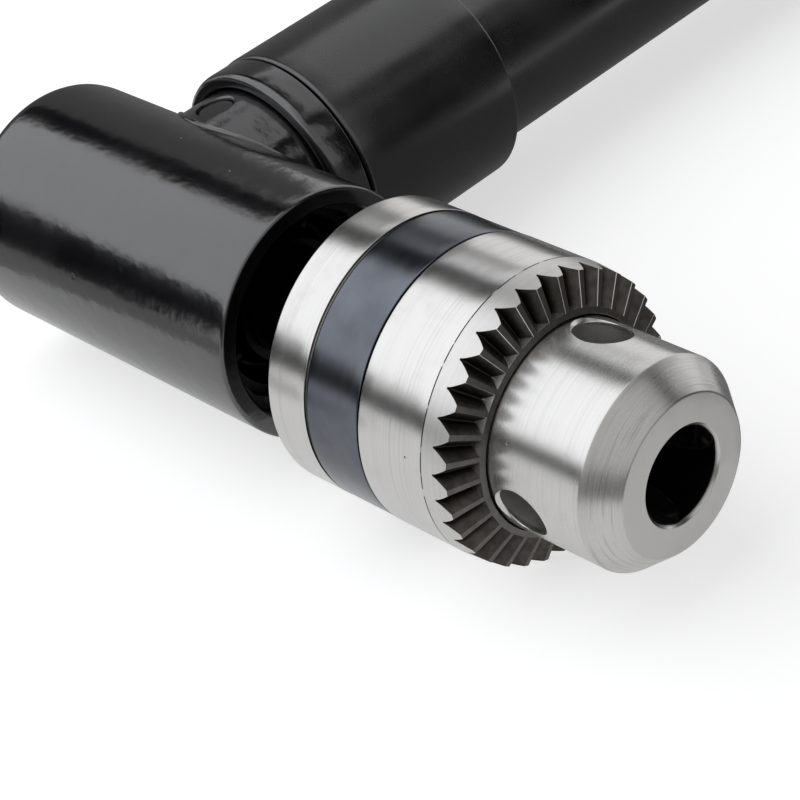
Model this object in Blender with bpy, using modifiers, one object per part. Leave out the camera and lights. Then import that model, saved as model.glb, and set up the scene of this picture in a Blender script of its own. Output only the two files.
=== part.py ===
"""Right angle drill adapter: a key chuck driven through a pair of bevel gears.

The output axis and the arm axis cross at right angles. Every piece is laid out from that
crossing point, along the output axis (+X, towards the chuck nose) or along the arm axis
(+Y, towards the shank), and one empty then puts the finished tool on its resting plane.
Profiles are lists of (distance along the axis, radius), from the far end down the outer
side and back along the inner side. A third value eases that corner.
"""

import math

import bmesh
import bpy
from mathutils import Matrix, Vector

MM = 0.001

# Clearances
FIT = 0.2 * MM  # between pieces that are pressed, screwed or stacked together
RUN = 0.3 * MM  # between pieces that move past each other

# Size of the empties that mark the axes
AXIS_MARK = 10.0 * MM

# Bearing radii, widths and balls
FRONT_BORE = 5.0 * MM
FRONT_OUTER = 13.0 * MM
FRONT_WIDTH = 8.0 * MM
FRONT_BALL = 2.38 * MM
REAR_BORE = 3.0 * MM
REAR_OUTER = 9.5 * MM
REAR_WIDTH = 6.0 * MM
REAR_BALL = 1.75 * MM
NECK_BORE = 4.0 * MM
NECK_OUTER = 11.0 * MM
NECK_WIDTH = 7.0 * MM
NECK_BALL = 1.98 * MM
BALL_COUNT = 7

# Race lands, cage height and cage width, as shares of the ball's radius
LAND_SHARE = 0.62
CAGE_HEIGHT_SHARE = 0.28
CAGE_WIDTH_SHARE = 0.42

# Mitre gears, with the depths below and above the pitch cone in modules
GEAR_TEETH = 16
GEAR_MODULE = 1.125 * MM
GEAR_FACE = 4.2 * MM
GEAR_PRESSURE_ANGLE = math.radians(20.0)
GEAR_ROOT_RATIO = 1.25
GEAR_CUT_RATIO = 1.35
GEAR_BACKLASH = 0.3 * MM
GEAR_WEB = 1.0 * MM
GEAR_HUB_LENGTH = 3.3 * MM
OUTPUT_HUB_WALL = 2.6 * MM
PINION_HUB_WALL = 2.1 * MM
OUTPUT_SEAT_STEP = 0.8 * MM
GEAR_PIN_RADIUS = 1.0 * MM
GEAR_PIN_BEHIND = 0.25 * MM  # from the middle of the hub, towards its back

# Head
HEAD_WALL = 2.3 * MM
HEAD_REAR_WALL = 3.7 * MM
HEAD_RIM_RECESS = 4.1 * MM
HEAD_RIM_EDGE = 0.45 * MM
HEAD_REAR_EDGE = 1.6 * MM
HEAD_SHOULDER = 0.8 * MM
GEAR_SIDE_ROOM = 1.5 * MM
CLIP_THICKNESS = 1.2 * MM
CLIP_GROOVE_DEPTH = 0.7 * MM
CLIP_HEIGHT = 1.6 * MM
CLIP_GAP_WIDTH = 5.0 * MM

# Neck, collar and handle
NECK_WALL = 1.9 * MM
NECK_SHOULDER = 0.7 * MM
NECK_SPACER_LENGTH = 11.5 * MM
NECK_END_LIP = 1.5 * MM
WELD_RADIUS = 1.0 * MM
SET_SCREW_RADIUS = 2.3 * MM
SET_SCREW_BEHIND_COLLAR = 3.8 * MM
SET_SCREW_ANGLE = math.radians(97.0)
SET_SCREW_SUNK = 0.4 * MM
COLLAR_HEAD_GAP = 0.9 * MM
COLLAR_LENGTH = 4.4 * MM
COLLAR_WALL = 1.85 * MM
COLLAR_EDGE = 0.45 * MM
BARREL_WALL = 2.0 * MM
BARREL_LENGTH = 25.4 * MM
BARREL_EDGE = 0.35 * MM
GRIP_BORE_RADIUS = 9.0 * MM
GRIP_WALL = 3.6 * MM
GRIP_LENGTH = 103.7 * MM
GRIP_END_EDGE = 1.2 * MM
BUSH_LENGTH = 12.0 * MM
SHANK_LENGTH = 38.0 * MM
SHANK_FLAT_LENGTH = 26.0 * MM
SHANK_FLAT_DEPTH = 0.45 * MM
SHANK_TIP_EDGE = 0.7 * MM

# Spindle nose and chuck body
CHUCK_GAP = 9.1 * MM
SPINDLE_COLLAR_STEP = 1.5 * MM
SPINDLE_NOSE_RADIUS = 4.76 * MM
SPINDLE_NOSE_LENGTH = 13.6 * MM
SPINDLE_NOSE_EDGE = 0.4 * MM
THROAT_RADIUS = 5.45 * MM
REAR_RING_LENGTH = 6.7 * MM
BAND_LENGTH = 8.23 * MM
BAND_RADIUS_DROP = 0.05 * MM
BAND_GROOVE_WIDTH = 0.5 * MM
BAND_GROOVE_DEPTH = 0.4 * MM
CHUCK_REAR_CHAMFER = 0.8 * MM
REAR_LAND_LENGTH = 1.67 * MM
NUT_LENGTH = 4.7 * MM
NUT_GROOVE_DEPTH = 4.2 * MM
FRONT_LAND_LENGTH = 2.0 * MM
SLEEVE_WALL = 2.1 * MM
NOSE_STEP = 5.0 * MM
NOSE_LENGTH = 18.0 * MM
NOSE_CONE_LENGTH = 3.5 * MM
NOSE_CONE_DROP = 2.9 * MM
NOSE_WALL = 6.55 * MM
THROAT_END_WALL = 4.6 * MM
MOUTH_CHAMFER = 0.3 * MM
DRAW_HOLE_RADIUS = 2.8 * MM
KEY_HOLE_AHEAD = 9.1 * MM
KEY_HOLE_RADIUS = 3.1 * MM
KEY_HOLE_DEPTH = 5.2 * MM
KEY_HOLE_CHAMFER = 0.4 * MM
KEY_HOLE_ANGLE = math.radians(72.0)

# Toothed sleeve
RING_TEETH = 33
RING_TIP_DROP = 0.28 * MM
RING_HEEL_LENGTH = 3.4 * MM
RING_FACE_ANGLE = math.radians(73.35)
RING_ROOT_ANGLE = math.radians(67.5)
RING_LAND_SHARE = 0.21
RING_FLANK_BULGE = 0.08 * MM
RING_TOE_LIP = 0.6 * MM
RING_GROOVE_ANGLE = math.radians(126.03)
SLEEVE_NOSE_GAP = 0.5 * MM
SLEEVE_EDGE = 0.15 * MM

# Jaws, with the distance from the rear of the nut to the tips of the open jaws
JAW_COUNT = 3
JAW_RADIUS = 3.0 * MM
JAW_LENGTH = 26.0 * MM
JAW_TILT = math.radians(15.0)
JAW_PEEK = 0.05 * MM
JAW_TIP_AHEAD = 15.9 * MM

# Scales, from the apex, of the ends of a tooth space's cutter that lie outside the metal
PAST_HEEL = 1.12
PAST_TOE = 0.8

# Facets round a full turn
ROUND_STEPS = 36
MEDIUM_STEPS = 24
SMALL_STEPS = 14
PIN_STEPS = 12
WELD_STEPS = 32
BALL_STEPS = 6
BALL_RINGS = 4

# Easings at least this large are arcs of a few facets, and smaller ones are chamfers
SMALLEST_ARC = 1.0 * MM
ARC_STEPS = 3

TURN = 2.0 * math.pi
SLOPE = math.sqrt(0.5)  # of a mitre gear's pitch cone and its back cone

# Places along the output axis, from the crossing point
PITCH_RADIUS = GEAR_MODULE * GEAR_TEETH / 2.0
CONE_LENGTH = PITCH_RADIUS / SLOPE
GEAR_TIP_HEIGHT = GEAR_MODULE * SLOPE
GEAR_ROOT_DEPTH = GEAR_ROOT_RATIO * GEAR_MODULE * SLOPE
GEAR_WEB_DEPTH = GEAR_ROOT_DEPTH + GEAR_WEB * SLOPE
GEAR_TIP_RADIUS = PITCH_RADIUS + GEAR_TIP_HEIGHT
GEAR_TOE = (CONE_LENGTH - GEAR_FACE) / CONE_LENGTH
GEAR_TOE_FLOOR = GEAR_TOE * (PITCH_RADIUS + GEAR_ROOT_DEPTH) + FIT
GEAR_HUB_START = PITCH_RADIUS + GEAR_WEB_DEPTH
GEAR_BACK = GEAR_HUB_START + GEAR_HUB_LENGTH
FRONT_BEARING_START = GEAR_BACK + RUN
FRONT_BEARING_END = FRONT_BEARING_START + FRONT_WIDTH
FRONT_CLIP_START = FRONT_BEARING_END + FIT
HEAD_FRONT = FRONT_CLIP_START + CLIP_THICKNESS + HEAD_RIM_RECESS
HEAD_RADIUS = FRONT_OUTER + HEAD_WALL
CAVITY_RADIUS = FRONT_OUTER - HEAD_SHOULDER
REAR_BEARING_FRONT = -(GEAR_TIP_RADIUS + GEAR_SIDE_ROOM)
REAR_BEARING_BACK = REAR_BEARING_FRONT - REAR_WIDTH
HEAD_REAR = REAR_BEARING_BACK - RUN - HEAD_REAR_WALL
CHUCK_REAR = HEAD_FRONT + CHUCK_GAP
OUTPUT_SEAT_RADIUS = FRONT_BORE - OUTPUT_SEAT_STEP
OUTPUT_HUB_RADIUS = OUTPUT_SEAT_RADIUS + FIT + OUTPUT_HUB_WALL
SPINDLE_COLLAR_RADIUS = FRONT_BORE + SPINDLE_COLLAR_STEP

# Places along the arm axis, from the crossing point
NECK_RADIUS = NECK_OUTER + NECK_WALL
BARREL_RADIUS = NECK_RADIUS + FIT + BARREL_WALL
GRIP_RADIUS = GRIP_BORE_RADIUS + GRIP_WALL
NECK_BEARING_1 = GEAR_BACK + RUN
NECK_SPACER_START = NECK_BEARING_1 + NECK_WIDTH + FIT
NECK_BEARING_2 = NECK_SPACER_START + NECK_SPACER_LENGTH + FIT
NECK_CLIP_START = NECK_BEARING_2 + NECK_WIDTH + FIT
NECK_END = NECK_CLIP_START + CLIP_THICKNESS + FIT + NECK_END_LIP
COLLAR_START = HEAD_RADIUS + COLLAR_HEAD_GAP
COLLAR_END = COLLAR_START + COLLAR_LENGTH
SET_SCREW_ALONG = COLLAR_START - SET_SCREW_BEHIND_COLLAR
HANDLE_START = COLLAR_END + RUN
BARREL_END = HANDLE_START + BARREL_LENGTH
HANDLE_END = BARREL_END + GRIP_LENGTH
SHANK_END = HANDLE_END + SHANK_LENGTH
SHAFT_RADIUS = NECK_BORE - FIT
SHAFT_GROOVE_RADIUS = SHAFT_RADIUS - CLIP_GROOVE_DEPTH
PINION_HUB_RADIUS = SHAFT_RADIUS + FIT + PINION_HUB_WALL

# Radii of the chuck, from its throat out, because its capacity sets its size
JAW_OPEN_RADIUS = THROAT_RADIUS - JAW_PEEK
NOSE_RADIUS = THROAT_RADIUS + NOSE_WALL
NOSE_FACE_RADIUS = NOSE_RADIUS - NOSE_CONE_DROP
KEY_HOLE_FLOOR_RADIUS = NOSE_RADIUS - KEY_HOLE_DEPTH
SLEEVE_NOSE_RADIUS = NOSE_RADIUS + SLEEVE_NOSE_GAP
CHUCK_RADIUS = NOSE_RADIUS + NOSE_STEP
RING_TIP_RADIUS = CHUCK_RADIUS - RING_TIP_DROP
SLEEVE_BORE_RADIUS = CHUCK_RADIUS - SLEEVE_WALL
BODY_LAND_RADIUS = SLEEVE_BORE_RADIUS - RUN - FIT
NUT_GROOVE_FLOOR_RADIUS = BODY_LAND_RADIUS - NUT_GROOVE_DEPTH

# Places inside the chuck, from its rear face
BAND_END = REAR_RING_LENGTH + BAND_LENGTH
NUT_GROOVE_START = BAND_END + REAR_LAND_LENGTH
NUT_START = NUT_GROOVE_START + RUN
NUT_END = NUT_START + NUT_LENGTH
NUT_GROOVE_END = NUT_END + RUN
BODY_SHOULDER = NUT_GROOVE_END + FRONT_LAND_LENGTH
NOSE_CONE_START = BODY_SHOULDER + NOSE_LENGTH
NOSE_FACE = NOSE_CONE_START + NOSE_CONE_LENGTH
THROAT_FLOOR = SPINDLE_NOSE_LENGTH + RUN + THROAT_END_WALL
KEY_HOLE_ALONG = BODY_SHOULDER + KEY_HOLE_AHEAD
JAW_TIP_ALONG = NUT_START + JAW_TIP_AHEAD

# Resting plane and middle of the finished tool
MIDDLE_ALONG_OUTPUT = (CHUCK_REAR + NOSE_FACE + HEAD_REAR) / 2.0
MIDDLE_ALONG_ARM = (SHANK_END - CHUCK_RADIUS) / 2.0

# Finishes: base colour, roughness, metallic
BLACK_PAINT = ((0.012, 0.012, 0.014), 0.22, 0.0)
BLACK_GRIP = ((0.016, 0.015, 0.017), 0.4, 0.0)
TURNED_STEEL = ((0.62, 0.61, 0.60), 0.28, 1.0)
PLAIN_STEEL = ((0.45, 0.45, 0.45), 0.35, 1.0)
BEARING_STEEL = ((0.60, 0.61, 0.62), 0.15, 1.0)
SPRING_STEEL = ((0.10, 0.10, 0.11), 0.4, 1.0)
BRONZE = ((0.45, 0.28, 0.12), 0.35, 1.0)


def clear_scene():
    """Remove every object of the open scene."""
    for scene_object in list(bpy.data.objects):
        bpy.data.objects.remove(scene_object, do_unlink=True)


def new_collection(name):
    """Make a collection directly under the scene."""
    collection = bpy.data.collections.new(name)
    bpy.context.scene.collection.children.link(collection)
    return collection


def new_empty(name, collection, parent=None, rotation=(0.0, 0.0, 0.0)):
    """Make an empty that other pieces hang on."""
    empty = bpy.data.objects.new(name, None)
    empty.empty_display_size = AXIS_MARK
    empty.rotation_euler = rotation
    empty.parent = parent
    collection.objects.link(empty)
    return empty


class Workshop:
    """The collections and the two axes that every piece is made on."""

    def __init__(self):
        self.pieces = new_collection("right_angle_drill_adapter")
        self.cutters = new_collection("cutters")
        self.root = new_empty("adapter", self.pieces)
        self.root.location = (-MIDDLE_ALONG_OUTPUT, -MIDDLE_ALONG_ARM, CHUCK_RADIUS)
        self.output = new_empty("output_axis", self.pieces, self.root, (0.0, math.pi / 2.0, 0.0))
        self.arm = new_empty("arm_axis", self.pieces, self.root, (-math.pi / 2.0, 0.0, 0.0))

    def piece(self, name, mesh, axis, finish):
        """Add a mesh as a named piece with its own material."""
        made = bpy.data.objects.new(name, mesh)
        made.parent = axis
        made.data.materials.append(new_material(name, finish))
        self.pieces.objects.link(made)
        return made

    def tool(self, name, mesh, axis):
        """Add a mesh as a hidden cutter or as a form that is joined to a piece."""
        made = bpy.data.objects.new(name, mesh)
        made.parent = axis
        made.hide_render = True
        made.display_type = "WIRE"
        self.cutters.objects.link(made)
        return made


def new_material(name, finish):
    """Make the piece's own Principled material."""
    colour, roughness, metallic = finish
    material = bpy.data.materials.new(name)
    material.use_nodes = True
    shader = material.node_tree.nodes["Principled BSDF"]
    shader.inputs["Base Color"].default_value = (*colour, 1.0)
    shader.inputs["Roughness"].default_value = roughness
    shader.inputs["Metallic"].default_value = metallic
    return material


def eased(profile):
    """Replace each corner that carries a third value by a chamfer, or by an arc if it is large."""
    points = []
    for index, corner in enumerate(profile):
        here = Vector(corner[:2])
        if len(corner) == 2:
            points.append(here)
            continue
        before = Vector(profile[index - 1][:2])
        after = Vector(profile[(index + 1) % len(profile)][:2])
        start = here + (before - here).normalized() * corner[2]
        end = here + (after - here).normalized() * corner[2]
        steps = ARC_STEPS if corner[2] >= SMALLEST_ARC else 1
        for step in range(steps + 1):
            share = step / steps
            points.append(start.lerp(here, share).lerp(here.lerp(end, share), share))
    return points


def turned(name, profile, segments):
    """Turn a profile round the local Z axis with a Screw modifier and return the mesh."""
    points = eased(profile)
    outline = bpy.data.meshes.new(name)
    vertices = [(radius, 0.0, along) for along, radius in points]
    edges = [(index, index + 1) for index in range(len(points) - 1)]
    if min(points[0].y, points[-1].y) > 0.0:
        edges.append((len(points) - 1, 0))
    outline.from_pydata(vertices, edges, [])
    guide = bpy.data.objects.new(name + "_profile", outline)
    bpy.context.scene.collection.objects.link(guide)
    screw = guide.modifiers.new("turn", "SCREW")
    screw.axis = "Z"
    screw.steps = segments
    screw.render_steps = segments
    screw.use_merge_vertices = True
    screw.merge_threshold = 0.00001
    return realised(guide)


def realised(guide):
    """Return the guide's evaluated mesh with loose seams welded, and remove the guide."""
    bpy.context.view_layer.update()
    graph = bpy.context.evaluated_depsgraph_get()
    mesh = bpy.data.meshes.new_from_object(guide.evaluated_get(graph))
    mesh.name = guide.name
    bpy.data.objects.remove(guide, do_unlink=True)
    form = bmesh.new()
    form.from_mesh(mesh)
    bmesh.ops.remove_doubles(form, verts=form.verts, dist=0.000001)
    form.to_mesh(mesh)
    form.free()
    return mesh


def cylinder(name, radius, start, end, segments, turn=None):
    """Make a closed cylinder along local Z, or along the direction that turn gives it."""
    form = bmesh.new()
    bmesh.ops.create_cone(
        form,
        cap_ends=True,
        segments=segments,
        radius1=radius,
        radius2=radius,
        depth=end - start,
        matrix=(turn or Matrix()) @ Matrix.Translation((0.0, 0.0, (start + end) / 2.0)),
    )
    return finished_mesh(name, form)


def box(name, size, centre, turn=None):
    """Make a closed box of the given sizes about a centre."""
    form = bmesh.new()
    place = (turn or Matrix()) @ Matrix.Translation(centre) @ Matrix.Diagonal((*size, 1.0))
    bmesh.ops.create_cube(form, size=1.0, matrix=place)
    return finished_mesh(name, form)


def finished_mesh(name, form):
    """Turn a bmesh into a mesh whose faces point outwards."""
    bmesh.ops.recalc_face_normals(form, faces=form.faces)
    mesh = bpy.data.meshes.new(name)
    form.to_mesh(mesh)
    form.free()
    return mesh


def combine(target, tool, operation):
    """Cut, join or intersect the target with a tool."""
    modifier = target.modifiers.new(tool.name, "BOOLEAN")
    modifier.operation = operation
    modifier.solver = "EXACT"
    modifier.object = tool


def cut(target, tool):
    """Remove the tool's volume from the target."""
    combine(target, tool, "DIFFERENCE")


def join(target, tool):
    """Add the tool's volume to the target."""
    combine(target, tool, "UNION")


def about_z(angle):
    """Return a rotation about the local axis."""
    return Matrix.Rotation(angle, 4, "Z")


def radial(angle, along):
    """Return a turn that takes local Z to the radial direction at an angle round the axis."""
    return about_z(angle) @ Matrix.Translation((0.0, 0.0, along)) @ Matrix.Rotation(math.pi / 2.0, 4, "Y")


def output_angle(angle):
    """Turn an angle seen from +Y towards +Z into one round the output axis's local Z."""
    return angle + math.pi / 2.0


def arm_angle(angle):
    """Turn an angle seen from +X towards +Z into one round the arm axis's local Z."""
    return -angle


def ring_profile(start, end, inner, outer, edge=0.0):
    """Return the profile of a plain ring, with eased outer edges where edge is given."""
    if edge:
        return [(end, outer, edge), (start, outer, edge), (start, inner), (end, inner)]
    return [(end, outer), (start, outer), (start, inner), (end, inner)]


def bearing_lands(bore, outer, ball):
    """Return a ball bearing's pitch, inner land and outer land radii."""
    pitch = (bore + outer) / 2.0
    return pitch, pitch - LAND_SHARE * ball, pitch + LAND_SHARE * ball


def race(pitch, ball, land, middle, side):
    """Return the groove of a race as three points, from its rear edge to its front edge."""
    reach = ball + RUN / 2.0
    half = math.sqrt(reach**2 - (land - pitch) ** 2)
    return [(middle - half, land), (middle, pitch + side * (reach + RUN / 3.0)), (middle + half, land)]


def bearing(shop, name, axis, start, bore, outer, width, ball):
    """Make a ball bearing as an outer ring, an inner ring and a caged set of balls."""
    pitch, inner_land, outer_land = bearing_lands(bore, outer, ball)
    middle = start + width / 2.0
    end = start + width
    groove = race(pitch, ball, outer_land, middle, 1.0)
    profile = [(end, outer - FIT), (start, outer - FIT), (start, outer_land), *groove, (end, outer_land)]
    shop.piece(name + "_outer", turned(name, profile, SMALL_STEPS), axis, BEARING_STEEL)
    groove = race(pitch, ball, inner_land, middle, -1.0)
    profile = [(end, inner_land), *reversed(groove), (start, inner_land), (start, bore), (end, bore)]
    shop.piece(name + "_inner", turned(name, profile, SMALL_STEPS), axis, BEARING_STEEL)
    caged_balls(shop, name + "_balls", axis, middle, pitch, ball)


def caged_balls(shop, name, axis, middle, pitch, ball):
    """Make a set of balls joined by the ribbon cage that spaces them."""
    half_height = CAGE_HEIGHT_SHARE * ball
    half_width = CAGE_WIDTH_SHARE * ball
    profile = ring_profile(
        middle - half_width, middle + half_width, pitch - half_height, pitch + half_height
    )
    cage = shop.piece(name, turned(name, profile, 2 * BALL_COUNT), axis, BEARING_STEEL)
    form = bmesh.new()
    for index in range(BALL_COUNT):
        place = about_z(index * TURN / BALL_COUNT) @ Matrix.Translation((pitch, 0.0, middle))
        bmesh.ops.create_uvsphere(
            form,
            u_segments=BALL_STEPS,
            v_segments=BALL_RINGS,
            radius=ball - RUN / 2.0,
            matrix=place,
        )
    join(cage, shop.tool(name + "_spheres", finished_mesh(name, form), axis))


def circlip(shop, name, axis, start, inner, outer):
    """Make an open retaining ring: a flat ring with a gap cut in it."""
    end = start + CLIP_THICKNESS
    profile = ring_profile(start, end, inner, outer)
    clip = shop.piece(name, turned(name, profile, SMALL_STEPS), axis, SPRING_STEEL)
    size = (2.0 * outer, CLIP_GAP_WIDTH, 3.0 * CLIP_THICKNESS)
    centre = (outer, 0.0, (start + end) / 2.0)
    cut(clip, shop.tool(name + "_gap", box(name, size, centre), axis))


def front_circlip(shop):
    """Make the ring that keeps the front bearing in the head."""
    outer = FRONT_OUTER + CLIP_GROOVE_DEPTH - FIT
    circlip(shop, "front_circlip", shop.output, FRONT_CLIP_START, outer - CLIP_HEIGHT, outer)


def neck_circlip(shop):
    """Make the ring that keeps both bearings in the neck."""
    outer = NECK_OUTER + CLIP_GROOVE_DEPTH - FIT
    circlip(shop, "neck_circlip", shop.arm, NECK_CLIP_START, outer - CLIP_HEIGHT, outer)


def shaft_circlip(shop):
    """Make the ring that keeps the shaft from sliding out of the neck bearings."""
    inner = SHAFT_GROOVE_RADIUS + FIT
    circlip(shop, "shaft_circlip", shop.arm, NECK_CLIP_START, inner, inner + CLIP_HEIGHT)


def head_solid_profile():
    """Return the head's outside, from the rim back to the rounded rear end."""
    return [
        (HEAD_FRONT, 0.0),
        (HEAD_FRONT, HEAD_RADIUS, HEAD_RIM_EDGE),
        (HEAD_REAR, HEAD_RADIUS, HEAD_REAR_EDGE),
        (HEAD_REAR, 0.0),
    ]


def head_cavity_profile():
    """Return the stepped bore that holds the bearings, the circlip and the gears."""
    groove_end = FRONT_CLIP_START + CLIP_THICKNESS + FIT
    groove_radius = FRONT_OUTER + CLIP_GROOVE_DEPTH
    past_rim = HEAD_FRONT + HEAD_RIM_RECESS
    return [
        (past_rim, 0.0),
        (past_rim, FRONT_OUTER),
        (groove_end, FRONT_OUTER),
        (groove_end, groove_radius),
        (FRONT_CLIP_START - FIT, groove_radius),
        (FRONT_CLIP_START - FIT, FRONT_OUTER),
        (FRONT_BEARING_START - FIT, FRONT_OUTER),
        (FRONT_BEARING_START - FIT, CAVITY_RADIUS),
        (REAR_BEARING_FRONT, CAVITY_RADIUS),
        (REAR_BEARING_FRONT, REAR_OUTER),
        (REAR_BEARING_BACK - RUN, REAR_OUTER),
        (REAR_BEARING_BACK - RUN, 0.0),
    ]


def neck_bore_profile():
    """Return the stepped bore of the neck, from past its end down into the head."""
    groove_end = NECK_CLIP_START + CLIP_THICKNESS + FIT
    groove_radius = NECK_OUTER + CLIP_GROOVE_DEPTH
    past_end = NECK_END + NECK_END_LIP
    return [
        (past_end, 0.0),
        (past_end, NECK_OUTER),
        (groove_end, NECK_OUTER),
        (groove_end, groove_radius),
        (NECK_CLIP_START - FIT, groove_radius),
        (NECK_CLIP_START - FIT, NECK_OUTER),
        (NECK_BEARING_1 - FIT, NECK_OUTER),
        (NECK_BEARING_1 - FIT, NECK_OUTER - NECK_SHOULDER),
        (0.0, NECK_OUTER - NECK_SHOULDER),
        (0.0, 0.0),
    ]


def weld_bead(shop):
    """Make the weld bead: a round bar along the saddle where the neck meets the head."""
    path = bpy.data.curves.new("weld_bead", "CURVE")
    path.dimensions = "3D"
    path.bevel_depth = WELD_RADIUS
    path.bevel_resolution = 1
    spline = path.splines.new("POLY")
    spline.points.add(WELD_STEPS - 1)
    for index, point in enumerate(spline.points):
        turn = index * TURN / WELD_STEPS
        across = NECK_RADIUS * math.cos(turn)
        side = NECK_RADIUS * math.sin(turn)
        point.co = (across, side, math.sqrt(HEAD_RADIUS**2 - side**2), 1.0)
    spline.use_cyclic_u = True
    guide = bpy.data.objects.new("weld_bead", path)
    bpy.context.scene.collection.objects.link(guide)
    return shop.tool("weld_bead", realised(guide), shop.arm)


def head_housing(shop):
    """Make the welded housing: head tube, neck tube and weld bead, bored out together."""
    mesh = turned("head_housing", head_solid_profile(), ROUND_STEPS)
    head = shop.piece("head_housing", mesh, shop.output, BLACK_PAINT)
    neck_profile = [(NECK_END, 0.0), (NECK_END, NECK_RADIUS), (0.0, NECK_RADIUS), (0.0, 0.0)]
    join(head, shop.tool("neck_tube", turned("neck_tube", neck_profile, ROUND_STEPS), shop.arm))
    join(head, weld_bead(shop))
    cavity = turned("head_cavity", head_cavity_profile(), MEDIUM_STEPS)
    cut(head, shop.tool("head_cavity", cavity, shop.output))
    neck_bore = turned("neck_bore", neck_bore_profile(), MEDIUM_STEPS)
    cut(head, shop.tool("neck_bore", neck_bore, shop.arm))
    place = radial(arm_angle(SET_SCREW_ANGLE), SET_SCREW_ALONG)
    radius = SET_SCREW_RADIUS + FIT
    hole = cylinder("set_screw_hole", radius, 0.0, 2.0 * NECK_RADIUS, SMALL_STEPS, place)
    cut(head, shop.tool("set_screw_hole", hole, shop.arm))


def neck_set_screw(shop):
    """Make the set screw, sunk a little below the surface of the neck."""
    place = radial(arm_angle(SET_SCREW_ANGLE), SET_SCREW_ALONG)
    outer = NECK_RADIUS - SET_SCREW_SUNK
    mesh = cylinder("neck_set_screw", SET_SCREW_RADIUS, NECK_OUTER, outer, SMALL_STEPS, place)
    shop.piece("neck_set_screw", mesh, shop.arm, SPRING_STEEL)


def collar_ring(shop):
    """Make the ring between the neck and the handle."""
    inner = NECK_RADIUS + FIT
    outer = NECK_RADIUS + FIT + COLLAR_WALL
    profile = ring_profile(COLLAR_START, COLLAR_END, inner, outer, COLLAR_EDGE)
    shop.piece("collar_ring", turned("collar_ring", profile, ROUND_STEPS), shop.arm, BLACK_PAINT)


def handle(shop):
    """Make the stepped handle, bored to slide over the neck and to clear the shaft."""
    seat_end = NECK_END + RUN
    seat_radius = NECK_RADIUS + FIT
    profile = [
        (HANDLE_END, GRIP_RADIUS, GRIP_END_EDGE),
        (BARREL_END, GRIP_RADIUS),
        (BARREL_END, BARREL_RADIUS, BARREL_EDGE),
        (HANDLE_START, BARREL_RADIUS, BARREL_EDGE),
        (HANDLE_START, seat_radius),
        (seat_end, seat_radius),
        (seat_end, GRIP_BORE_RADIUS),
        (HANDLE_END, GRIP_BORE_RADIUS),
    ]
    shop.piece("handle", turned("handle", profile, ROUND_STEPS), shop.arm, BLACK_GRIP)


def handle_end_bush(shop):
    """Make the plain bush that guides the shaft in the end of the handle."""
    start = HANDLE_END - BUSH_LENGTH - RUN
    profile = ring_profile(start, HANDLE_END - RUN, SHAFT_RADIUS + RUN, GRIP_BORE_RADIUS - FIT)
    mesh = turned("handle_end_bush", profile, SMALL_STEPS)
    shop.piece("handle_end_bush", mesh, shop.arm, BRONZE)


def neck_bearing_spacer(shop):
    """Make the tube that spaces the outer rings of the neck bearings."""
    outer_land = bearing_lands(NECK_BORE, NECK_OUTER, NECK_BALL)[2]
    end = NECK_SPACER_START + NECK_SPACER_LENGTH
    profile = ring_profile(NECK_SPACER_START, end, outer_land + FIT, NECK_OUTER - FIT)
    mesh = turned("neck_bearing_spacer", profile, SMALL_STEPS)
    shop.piece("neck_bearing_spacer", mesh, shop.arm, PLAIN_STEEL)


def tooth_spaces(name, section, teeth, first_angle, near, far):
    """Make one wedge for each tooth space: a heel section drawn in towards the cone apex.

    The apex is the local origin, and near and far are the scales of the wedge's two ends.
    """
    form = bmesh.new()
    for tooth in range(teeth):
        spin = about_z(first_angle + tooth * TURN / teeth)
        face = form.faces.new([form.verts.new(spin @ (point * far)) for point in section])
        grown = bmesh.ops.extrude_face_region(form, geom=[face])
        ends = [item for item in grown["geom"] if isinstance(item, bmesh.types.BMVert)]
        bmesh.ops.scale(form, vec=(near / far,) * 3, verts=ends)
    return finished_mesh(name, form)


def involute(angle):
    """Return the involute function of a pressure angle."""
    return math.tan(angle) - angle


def mitre_space_section():
    """Return a tooth space at the heel of a mitre gear, laid out on its back cone.

    Each flank follows the involute of the gear that the back cone unrolls into.
    """
    virtual_radius = CONE_LENGTH
    virtual_teeth = GEAR_TEETH / SLOPE
    base_radius = virtual_radius * math.cos(GEAR_PRESSURE_ANGLE)
    root = virtual_radius - GEAR_ROOT_RATIO * GEAR_MODULE
    tip = virtual_radius + GEAR_CUT_RATIO * GEAR_MODULE
    tooth_half_angle = math.pi / (2.0 * virtual_teeth) - GEAR_BACKLASH / (4.0 * virtual_radius)
    flank = []
    for share in (0.0, 0.5, 1.0):
        radius = root + (tip - root) * share
        pressure = math.acos(min(1.0, base_radius / radius))
        half = tooth_half_angle + involute(GEAR_PRESSURE_ANGLE) - involute(pressure)
        space = math.pi / virtual_teeth - half
        flank.append((radius * math.sin(space), radius * math.cos(space) - virtual_radius))
    outline = flank + [(-across, up) for across, up in reversed(flank)]
    return [
        Vector((PITCH_RADIUS + up * SLOPE, across, PITCH_RADIUS - up * SLOPE))
        for across, up in outline
    ]


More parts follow.
